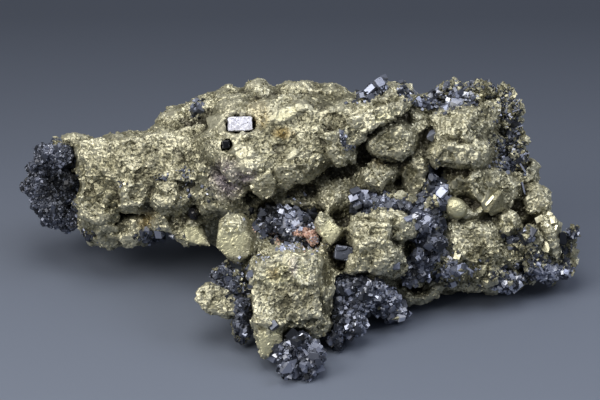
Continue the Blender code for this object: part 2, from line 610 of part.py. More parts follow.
GREY_PATCHES = {
    "grey_crystals_left_end": (
        [
            (-74.5, 34, 28.5, 7, 12.5, 8, 0, pebble),
            (-73.4, 43.0, 27, 4.6, 4, 6, 0, knob),
            (-78.8, 39.8, 26, 4.0, 3.0, 5, 0, knob),
            (-79.0, 33.5, 23.5, 4.8, 6.6, 5.5, 0, knob),
            (-69.6, 24.6, 22, 4.6, 3.8, 6, 0, knob),
            (-75.2, 27.0, 21.5, 5.0, 4.8, 5.5, 0, knob),
            (-72.0, 23.6, 21.5, 4.4, 3.4, 5, 0, knob),
            (-69.4, 33.4, 23, 2.6, 5, 4, 0, knob),
            (-77.6, 44.0, 28, 3.4, 3.4, 5, 0, knob),
        ],
        [
            (-75.5, 45.0, 24, 2.2, 1.8, 2, 20, cube),
            (-80.6, 40.2, 22.5, 1.8, 1.4, 2, 10, cube),
            (-70.0, 35.4, 20, 1.6, 1.6, 2, 40, cube),
        ],
    ),
    "grey_crystals_valley_left": (
        [
            (-4, 23.4, 2, 8, 4.2, 5, 0, pebble),
            (0.5, 19.5, -3, 6, 3.6, 5, 0, knob),
            (-9.5, 26, 4, 4, 2.8, 4, 0, knob),
        ],
        [
            (-7.5, 26.4, 0, 1.8, 1.6, 2, 20, cube),
            (0.6, 25.0, 0, 1.7, 1.5, 2, -15, cube),
        ],
    ),
    "grey_crystals_valley_right": (
        [
            (26, 27.2, 2, 12, 4.4, 5, 0, pebble),
            (36.5, 22.5, -1, 5, 6.4, 5, 0, pebble),
            (39.6, 32, 7, 3, 6, 5, 0, knob),
            (38.4, 28.4, 3, 3.4, 4, 5, 0, knob),
            (37.5, 14, -4, 5, 5.4, 5, 0, knob),
            (34, 9, -8, 4.4, 4.8, 5, 0, knob),
        ],
        [
            (24, 25.8, -2.5, 4.2, 2.2, 2.6, 20, block),
            (16.8, 30.4, 0, 2.2, 2.0, 2.4, 10, block),
            (40.3, 18, -7, 1.7, 1.7, 3.4, 0, pillar),
            (35.8, 21.6, -6, 1.6, 1.6, 3.2, 12, pillar),
            (41.6, 32.8, 4, 1.5, 1.5, 2, 30, cube),
            (34.5, 13.0, -9.5, 1.8, 1.5, 2, 60, cube),
        ],
    ),
    "grey_crystals_base": (
        [
            (49, 8.6, -4, 9.5, 2.8, 4, 6, knob),
            (55.5, 6.8, -3, 6, 2.8, 4, 0, knob),
            (60.5, 5.8, -2, 5, 2.4, 4, 0, knob),
            (43, 10.6, -4, 5, 3.4, 4, 0, knob),
        ],
        [
            (46.5, 9.6, -7.4, 1.7, 1.4, 2, 40, cube),
            (56.4, 8.0, -6, 1.5, 1.4, 2.4, 10, cube),
        ],
    ),
    "grey_crystals_right_end": (
        [
            (80, 16.6, 10, 3.0, 5, 5, 0, knob),
            (78.8, 10.4, 8, 4.4, 4.2, 5, 0, knob),
            (74.4, 8.8, 5.5, 5.4, 3.6, 5, 0, knob),
            (70, 8.6, 3.4, 5, 4, 5, 0, knob),
            (69.4, 13, 2.2, 4, 5.4, 4.6, 0, knob),
            (68.6, 18.2, 2.6, 3.2, 4, 4.4, 0, knob),
        ],
        [
            (81.2, 20.2, 8, 1.7, 1.7, 2, 20, cube),
            (79.6, 7.6, 4, 1.6, 1.3, 2, 50, cube),
            (67.6, 19.6, -1.2, 1.5, 1.7, 2, 15, cube),
        ],
    ),
    "grey_crystals_crest": (
        [
            (43.6, 62.6, 31, 4.8, 3.0, 4, 0, knob),
            (48.4, 61, 28, 6, 3.2, 5, 0, knob),
            (53, 62.6, 31, 5.6, 2.6, 5, 0, knob),
        ],
        [
            (46.4, 62.2, 24, 1.8, 1.4, 2, 15, cube),
            (43.2, 64.0, 28, 1.5, 1.4, 2.4, 35, cube),
        ],
    ),
    "grey_crystals_peak_side": (
        [
            (60.8, 60.4, 31, 2.8, 4.2, 4, 0, knob),
            (62.4, 55.4, 28, 3.0, 5, 4.6, 0, knob),
            (63.8, 48.6, 25, 3.0, 5.6, 4.6, 0, knob),
            (65.0, 42.8, 21.5, 2.8, 4.6, 4.6, 0, knob),
        ],
        [
            (64.2, 57.6, 26, 1.4, 1.4, 2, 20, cube),
            (66.0, 47.6, 21, 1.4, 1.6, 2, 40, cube),
        ],
    ),
    "grey_crystals_ridge": (
        [
            (21.4, 62.0, 22.5, 4.2, 2.2, 3.4, 32, knob),
        ],
        [
            (22.6, 63.0, 21.5, 3.4, 1.7, 2.6, 34, block),
            (19.0, 60.4, 19.6, 2.4, 1.8, 3, 20, block),
            (24.0, 64.8, 23, 1.7, 1.3, 2, 40, cube),
        ],
    ),
    "grey_crystals_foot_left": (
        [
            (-21.8, 7.4, -16, 4.8, 4, 5, 0, knob),
            (-18.6, 3.0, -19, 4.4, 4, 5, 0, knob),
            (-16.5, -3.4, -23.6, 3.6, 5.6, 5, 0, knob),
            (-17.3, -8.4, -27, 3, 2.8, 3.6, 0, knob),
        ],
        [
            (-23.0, 9.0, -19.4, 1.7, 1.5, 2, 25, cube),
            (-19.4, 4.8, -23.0, 1.8, 1.5, 2.4, 50, cube),
            (-16.6, -0.6, -27, 1.6, 1.6, 2.4, 10, cube),
        ],
    ),
    "grey_crystals_foot_front": (
        [
            (-3, -18.2, -40, 4.2, 3.8, 4.5, 0, knob),
            (3, -15.2, -38, 3.2, 4, 4, 0, knob),
            (0, -12, -34, 4.8, 3.8, 5, 0, knob),
            (-5.0, -14.5, -37, 3.2, 3.6, 4, 0, knob),
            (2, -18.6, -41, 3.4, 3, 4, 0, knob),
        ],
        [
            (-3.6, -18.6, -44.4, 2.0, 1.7, 2, 20, cube),
            (4.2, -14.6, -41.6, 1.7, 2.0, 2, -20, cube),
            (0.2, -11.2, -38.6, 2.2, 1.5, 2, 10, cube),
        ],
    ),
    "grey_crystals_foot_right": (
        [
            (16, 3.6, -15, 10, 4.2, 6, 0, pebble),
            (13.6, -6.0, -23, 5.6, 4.2, 6, 20, knob),
            (10, -10.4, -25.6, 3, 3, 4, 0, knob),
            (14, -1.5, -18, 6.8, 5, 6, 0, knob),
            (27, -3.2, -12, 5.4, 2.8, 5, 10, knob),
            (23, 0.5, -13, 6.4, 4.4, 6, 0, knob),
        ],
        [
            (14.6, -7.0, -28.4, 1.8, 1.5, 2, 20, cube),
            (19.8, 4.8, -20.2, 1.8, 1.5, 2, 50, cube),
            (28.6, -3.4, -16.4, 1.8, 1.4, 2, 15, cube),
        ],
    ),
}

PATCH_HOLLOWS = {
    "grey_crystals_left_end": lumps_seen("left hollow", [(-73.0, 36, 19.5, 2.4, 3.8, 6, 15, knob)]),
}

# Single crystals of other minerals that stand on the brassy mass

SINGLES = {
    "galena_crystal": [(-18, 52.4, 11.4, 3.7, 2.2, 2.8, 2, block)],
    "black_crystal_dome": [(-22.2, 46.4, 7.0, 1.3, 1.3, 2.0, 8, block)],
    "black_crystal_arm": [(-32.2, 26.0, 7.6, 1.8, 2.1, 2.2, 0, boulder)],
    "grey_block_crystal": [(12.3, 14.4, -10.5, 2.9, 2.3, 2.8, -14, block)],
    "pink_carbonate_crust": [
        (0, 20.5, -5.4, 2.4, 1.5, 1.8, 10, grain),
        (3.3, 18.8, -6.2, 1.8, 2.8, 1.8, 0, grain),
        (1.6, 20, -5.8, 1.8, 1.3, 1.4, 0, grain),
    ],
}

# Colours as linear red, green and blue, with roughness and metallic
BRASSY = ("chalcopyrite", (0.36, 0.31, 0.12), 0.45, 0.8)
DARK_GREY = ("grey_sulphide", (0.07, 0.08, 0.12), 0.35, 0.7)
SILVER = ("galena", (0.75, 0.76, 0.82), 0.2, 1.0)
BLACK = ("sphalerite", (0.008, 0.008, 0.01), 0.15, 0.0)
PINK = ("pink_carbonate", (0.45, 0.22, 0.17), 0.55, 0.0)
SINGLE_FINISH = {
    "galena_crystal": SILVER,
    "black_crystal_dome": BLACK,
    "black_crystal_arm": BLACK,
    "grey_block_crystal": DARK_GREY,
    "pink_carbonate_crust": PINK,
}


def material(name, colour, roughness, metallic):
    made = bpy.data.materials.get(name) or bpy.data.materials.new(name)
    made.use_nodes = True
    shader = made.node_tree.nodes["Principled BSDF"]
    shader.inputs["Base Color"].default_value = (*colour, 1)
    shader.inputs["Roughness"].default_value = roughness
    shader.inputs["Metallic"].default_value = metallic
    made.diffuse_color = (*colour, 1)
    return made


def add_part(name, mesh, finish):
    mesh.name = name
    mesh.materials.clear()
    mesh.materials.append(material(*finish))
    made = bpy.data.objects.new(name, mesh)
    bpy.context.scene.collection.objects.link(made)
    return made


def brassy_mass():
    """The chalcopyrite before the other minerals are let into it."""
    lumps = lumps_at("back", BACK)
    for name, rows in (
        ("arm", ARM),
        ("dome", DOME),
        ("under the ledge", UNDER_THE_LEDGE),
        ("right peak", RIGHT_PEAK),
        ("valley", VALLEY),
        ("foot", FOOT),
    ):
        lumps += lumps_seen(name, rows)
    mesh = joined(lumps)
    mesh = combine(mesh, hulls(lumps_seen("hollows", ARM_HOLLOWS + RIGHT_HOLLOWS)), "DIFFERENCE")
    mesh = reskinned(mesh, SKIN_GRAIN, SKIN_SMOOTHING)
    mesh = chipped(mesh, CHIP_SPACING, CHIP_HEIGHT, "chips")
    mesh = thinned(mesh, SKIN_FACES)
    crystals = CRYSTALS + lumps_seen("crystals", BRIGHT_CRYSTALS + BLUNT_CRYSTALS)
    return combine(mesh, hulls(crystals), "UNION")


def patch(name, rows, crystals):
    """A patch of grey crystals: lumps under a skin of small blunt ones, with the larger set in."""
    mesh = combine(joined(lumps_seen(name, rows)), hulls(PATCH_HOLLOWS.get(name, [])), "DIFFERENCE")
    mesh = reskinned(mesh, PATCH_GRAIN, 1)
    mesh = chipped(mesh, PATCH_SPACING, PATCH_HEIGHT, name)
    mesh = thinned(mesh, area_of(mesh) / PATCH_FACE_AREA)
    return combine(mesh, hulls(lumps_seen(f"{name} crystals", crystals)), "UNION")


def clear_scene():
    for old in list(bpy.data.objects):
        bpy.data.objects.remove(old)


def stand_on_origin(parts):
    """Moves every part alike, so that the middle of the whole outline at floor level is the origin."""
    corners = [v.co for part in parts for v in part.data.vertices]
    low = [min(corner[k] for corner in corners) for k in range(2)]
    high = [max(corner[k] for corner in corners) for k in range(2)]
    shift = Vector((-(low[0] + high[0]) / 2, -(low[1] + high[1]) / 2, 0))
    for part in parts:
        part.data.transform(Matrix.Translation(shift))
    return shift


def main():
    clear_scene()
    parts = []
    sockets = []
    for name, rows in SINGLES.items():
        mesh = fitted(joined(lumps_seen(name, rows)), sockets)
        sockets.append(socket(mesh))
        parts.append(add_part(name, mesh, SINGLE_FINISH[name]))
    for name, (rows, crystals) in GREY_PATCHES.items():
        mesh = fitted(patch(name, rows, crystals), sockets)
        sockets.append(socket(mesh))
        parts.append(add_part(name, mesh, DARK_GREY))
    parts.append(add_part("chalcopyrite_mass", fitted(brassy_mass(), sockets), BRASSY))
    return stand_on_origin(parts)


main()
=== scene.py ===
"""The looks of a hand-sized chalcopyrite specimen with crusts of dark grey sulphide crystals.

Each mineral is dressed in a finer skin over its solid. Lengths are in millimetres unless a name
says otherwise, and "as seen" means measured in the picture: across to the right and up, from the
middle of the specimen's base, in a plane through its middle that faces the viewer.
"""

import itertools
import json
import math

import bmesh
import bpy
import numpy as np
from mathutils import Euler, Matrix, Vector
from mathutils.bvhtree import BVHTree

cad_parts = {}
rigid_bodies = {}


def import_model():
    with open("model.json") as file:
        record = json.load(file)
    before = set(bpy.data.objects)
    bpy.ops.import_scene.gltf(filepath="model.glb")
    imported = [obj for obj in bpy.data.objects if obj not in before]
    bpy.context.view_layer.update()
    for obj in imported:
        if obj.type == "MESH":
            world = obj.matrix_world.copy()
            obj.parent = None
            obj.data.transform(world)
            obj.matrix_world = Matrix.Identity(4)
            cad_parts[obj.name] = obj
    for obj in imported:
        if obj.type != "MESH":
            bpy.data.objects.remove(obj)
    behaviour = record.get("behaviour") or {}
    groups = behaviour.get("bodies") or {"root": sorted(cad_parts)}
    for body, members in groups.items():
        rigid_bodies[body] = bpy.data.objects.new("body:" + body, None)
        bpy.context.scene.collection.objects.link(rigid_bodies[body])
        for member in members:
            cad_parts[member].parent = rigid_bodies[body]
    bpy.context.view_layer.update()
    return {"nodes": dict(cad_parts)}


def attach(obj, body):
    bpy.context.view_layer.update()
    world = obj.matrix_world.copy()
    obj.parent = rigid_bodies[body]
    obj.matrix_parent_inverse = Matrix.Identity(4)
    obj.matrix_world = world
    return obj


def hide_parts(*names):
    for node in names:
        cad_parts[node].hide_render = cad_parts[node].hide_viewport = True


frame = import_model()

MM = 0.001

# The camera: a long lens that looks down on the specimen.
VIEW_TILT = math.radians(30)
VIEW_DISTANCE = 900.0
VIEW_WIDTH = 180.0
SENSOR = 36.0
MIDDLE_OF_PICTURE = 30.0
SIN, COS = math.sin(VIEW_TILT), math.cos(VIEW_TILT)
RIGHT = np.array((1.0, 0.0, 0.0))
UP_IN_VIEW = np.array((0.0, SIN, COS))
AWAY = np.array((0.0, COS, -SIN))
EYE = UP_IN_VIEW * MIDDLE_OF_PICTURE - AWAY * VIEW_DISTANCE

# The skins: the grain at which each solid is skinned, and the triangles that it keeps.
BRASSY_GRAIN = 0.5
BRASSY_FACES = 165000
GREY_GRAIN = 0.45

GREY_PATCHES = [name for name in frame["nodes"] if name.startswith("grey_crystals")]


# Colours and material nodes


def linear(hex_colour):
    """A hex colour as it shows on a screen, turned to linear red, green, blue and alpha."""
    parts = [int(hex_colour[k : k + 2], 16) / 255 for k in (1, 3, 5)]
    return [p / 12.92 if p <= 0.04045 else ((p + 0.055) / 1.055) ** 2.4 for p in parts] + [1.0]


def add(tree, kind, settings=None, links=None):
    """A node with its settings by name or socket, and what feeds its sockets."""
    node = tree.nodes.new(kind)
    for name, value in (settings or {}).items():
        if isinstance(name, int) or name in node.inputs:
            node.inputs[name].default_value = value
        else:
            setattr(node, name, value)
    for name, source in (links or {}).items():
        tree.links.new(source, node.inputs[name])
    return node


def new_material(name):
    """An empty material, its tree, and its shader joined to the output."""
    made = bpy.data.materials.new(name)
    made.use_nodes = True
    made.node_tree.nodes.clear()
    tree = made.node_tree
    shader = add(tree, "ShaderNodeBsdfPrincipled")
    add(tree, "ShaderNodeOutputMaterial", links={"Surface": shader.outputs[0]})
    return made, tree, shader


def grain_scale(size):
    """The noise scale whose blotches are this many millimetres across."""
    return 1 / (size * MM)


def set_ramp(ramp, stops):
    """Gives a colour ramp its stops: where each is and its colour."""
    elements = ramp.color_ramp.elements
    while len(elements) < len(stops):
        elements.new(0.5)
    for element, (position, colour) in zip(elements, stops):
        element.position = position
        element.color = linear(colour)


# Meshes


def modified(mesh, kind, **settings):
    """The mesh after one modifier of this kind."""
    host = bpy.data.objects.new("host", mesh)
    bpy.context.scene.collection.objects.link(host)
    modifier = host.modifiers.new("change", kind)
    for name, value in settings.items():
        setattr(modifier, name, value)
    graph = bpy.context.evaluated_depsgraph_get()
    made = bpy.data.meshes.new_from_object(host.evaluated_get(graph))
    bpy.data.objects.remove(host)
    return made


def skinned(mesh, grain, smoothing):
    """An even skin of small faces over the mesh."""
    mesh = modified(mesh, "REMESH", mode="VOXEL", voxel_size=grain * MM)
    return modified(mesh, "SMOOTH", factor=0.5, iterations=smoothing) if smoothing else mesh


def thinned(mesh, faces):
    """The mesh with its flatter faces merged until about this many triangles are left."""
    mesh = modified(mesh, "TRIANGULATE")
    if len(mesh.polygons) <= faces:
        return mesh
    return modified(mesh, "DECIMATE", decimate_type="COLLAPSE", ratio=faces / len(mesh.polygons))


def points_of(mesh):
    """The corners, one row each."""
    flat = np.empty(len(mesh.vertices) * 3)
    mesh.vertices.foreach_get("co", flat)
    return flat.reshape(-1, 3) / MM


def triangles_of(mesh):
    """The corner numbers of each triangle, one row each."""
    mesh.calc_loop_triangles()
    flat = np.empty(len(mesh.loop_triangles) * 3, np.int32)
    mesh.loop_triangles.foreach_get("vertices", flat)
    return flat.reshape(-1, 3)


def outward_of(mesh):
    """The direction out of the surface at each corner."""
    flat = np.empty(len(mesh.vertices) * 3)
    mesh.vertices.foreach_get("normal", flat)
    return flat.reshape(-1, 3)


def set_points(mesh, points):
    """Moves the corners there, but never through the floor."""
    points = points.copy()
    points[:, 2] = np.maximum(points[:, 2], 0)
    mesh.vertices.foreach_set("co", (points * MM).ravel())
    mesh.update()


def mesh_from(name, points, triangles):
    """A mesh of triangles."""
    mesh = bpy.data.meshes.new(name)
    mesh.vertices.add(len(points))
    mesh.loops.add(len(triangles) * 3)
    mesh.polygons.add(len(triangles))
    mesh.loops.foreach_set("vertex_index", np.asarray(triangles, np.int32).ravel())
    mesh.polygons.foreach_set("loop_start", np.arange(0, len(triangles) * 3, 3, dtype=np.int32))
    set_points(mesh, np.asarray(points, float))
    mesh.validate()
    return mesh


def joined(parts):
    """One list of corners and one of triangles from many."""
    points, triangles, count = [], [], 0
    for corners, faces in parts:
        points.append(corners)
        triangles.append(faces + count)
        count += len(corners)
    return np.vstack(points), np.vstack(triangles)


def set_mark(mesh, name, values):
    """Keeps one number for each corner, for the material to read."""
    mark = mesh.attributes.new(name, "FLOAT", "POINT")
    mark.data.foreach_set("value", np.asarray(values, np.float32))


def surface_of(mesh):
    """The mesh as a surface that rays can be cast on, in millimetres."""
    return BVHTree.FromPolygons(points_of(mesh).tolist(), triangles_of(mesh).tolist())


def convex(points):
    """The corners and triangles of the convex body round these points."""
    bm = bmesh.new()
    for point in points:
        bm.verts.new(point)
    found = bmesh.ops.convex_hull(bm, input=bm.verts)
    inside = {v for v in found["geom_interior"] if isinstance(v, bmesh.types.BMVert)}
    bmesh.ops.delete(bm, geom=list(inside), context="VERTS")
    bmesh.ops.triangulate(bm, faces=bm.faces)
    bmesh.ops.recalc_face_normals(bm, faces=bm.faces)
    bm.verts.index_update()
    corners = np.array([v.co[:] for v in bm.verts])
    triangles = np.array([[v.index for v in face.verts] for face in bm.faces])
    bm.free()
    return corners, triangles


def place(name, mesh, finish, nodes):
    """A piece of the specimen, in place of these solids."""
    mesh.name = name
    mesh.shade_flat()
    mesh.materials.clear()
    mesh.materials.append(finish)
    piece = bpy.data.objects.new(name, mesh)
    bpy.context.scene.collection.objects.link(piece)
    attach(piece, "root")
    if nodes:
        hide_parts(*nodes)
    return piece


# Rough surfaces: stones of random tilt packed in space, whose near faces stand out of the skin


STONE_KINDS = 1024
HASH_STEPS = np.array((73856093, 19349663, 83492791), np.int64)


def random_turns(rng, count):
    """Random rotations, one 3 by 3 matrix each."""
    q = rng.normal(size=(count, 4))
    w, x, y, z = (q / np.linalg.norm(q, axis=1, keepdims=True)).T
    rows = [
        (1 - 2 * (y * y + z * z), 2 * (x * y - z * w), 2 * (x * z + y * w)),
        (2 * (x * y + z * w), 1 - 2 * (x * x + z * z), 2 * (y * z - x * w)),
        (2 * (x * z - y * w), 2 * (y * z + x * w), 1 - 2 * (x * x + y * y)),
    ]
    return np.array(rows).transpose(2, 0, 1)


STONE_RNG = np.random.default_rng(11)
STONE_TURNS = random_turns(STONE_RNG, STONE_KINDS)
STONE_PLACES = STONE_RNG.random((STONE_KINDS, 3))
STONE_LEVELS = STONE_RNG.uniform(-0.5, 0.5, STONE_KINDS)


def stones(points, spacing, seed):
    """For each point: its stone's number, how near the next stone is, and the point's place in it.

    Lengths are shares of the spacing.
    """
    cell = np.floor(points / spacing).astype(np.int64)
    nearest = np.full(len(points), 9.0)
    second = np.full(len(points), 9.0)
    stone = np.zeros(len(points), np.int64)
    inside = np.zeros((len(points), 3))
    for step in itertools.product((-1, 0, 1), repeat=3):
        there = cell + np.array(step)
        kind = ((there * HASH_STEPS).sum(axis=1) ^ (seed * 2654435761)) % STONE_KINDS
        offset = points / spacing - there - STONE_PLACES[kind]
        turned = np.einsum("nij,nj->ni", STONE_TURNS[kind], offset)
        reach = np.abs(turned).max(axis=1)
        closer = reach < nearest
        second = np.where(closer, nearest, np.minimum(second, reach))
        stone = np.where(closer, kind, stone)
        inside = np.where(closer[:, None], turned, inside)
        nearest = np.where(closer, reach, nearest)
    return stone, second - nearest, inside


def chips(points, spacing, seed, tilt=0.9):
    """How far each point moves where the surface breaks into flat tilted chips with steps between."""
    stone, gap, inside = stones(points, spacing, seed)
    return spacing * (STONE_LEVELS[stone] * 0.5 + tilt * 0.5 * (inside[:, 0] + inside[:, 1]))


# Places in the picture


def as_seen(points):
    """Where each point shows: across and rise."""
    from_eye = points - EYE
    scale = VIEW_DISTANCE / (from_eye @ AWAY)
    across = (from_eye @ RIGHT) * scale
    rise = (from_eye @ UP_IN_VIEW) * scale + MIDDLE_OF_PICTURE
    return across, rise


def facing_viewer(points, outward):
    """The cosine between the surface's outward direction and the way to the eye."""
    to_eye = EYE - points
    to_eye /= np.linalg.norm(to_eye, axis=1, keepdims=True)
    return (outward * to_eye).sum(axis=1)


def seen_through(across, rise, depth):
    """The point or points that show there and lie this far behind the plane through the middle."""
    on_plane = np.multiply.outer(across, RIGHT) + np.multiply.outer(rise, UP_IN_VIEW)
    return EYE + (on_plane - EYE) * (1 + np.asarray(depth) / VIEW_DISTANCE)[..., None]


def depth_seen(surface, across, rise):
    """How far behind the plane through the middle the surface shows there, and its outward side."""
    way = Vector(seen_through(across, rise, 0) - EYE)
    spot, outward, _index, _distance = surface.ray_cast(Vector(EYE), way.normalized())
    if spot is None:
        return None, None
    return float((np.array(spot) - EYE) @ AWAY) - VIEW_DISTANCE, np.array(outward)


def in_ellipse(across, rise, area):
    """How far out of the ellipse each place is: 0 at its middle and 1 at its edge."""
    x, y, width, height, roll = area
    turn = math.radians(roll)
    dx, dy = across - x, rise - y
    along = (dx * math.cos(turn) + dy * math.sin(turn)) / width
    over = (dy * math.cos(turn) - dx * math.sin(turn)) / height
    return np.sqrt(along * along + over * over)


def in_areas(points, areas, soft=0.25):
    """How far inside any of the ellipses each point shows, from 0 to 1."""
    across, rise = as_seen(points)
    share = np.zeros(len(points))
    for area in areas:
        share = np.maximum(share, np.clip((1 - in_ellipse(across, rise, area)) / soft + 0.5, 0, 1))
    return share


# The brassy mass


# Crisp blocks as seen: how far each stands proud, then its outline as across and rise.

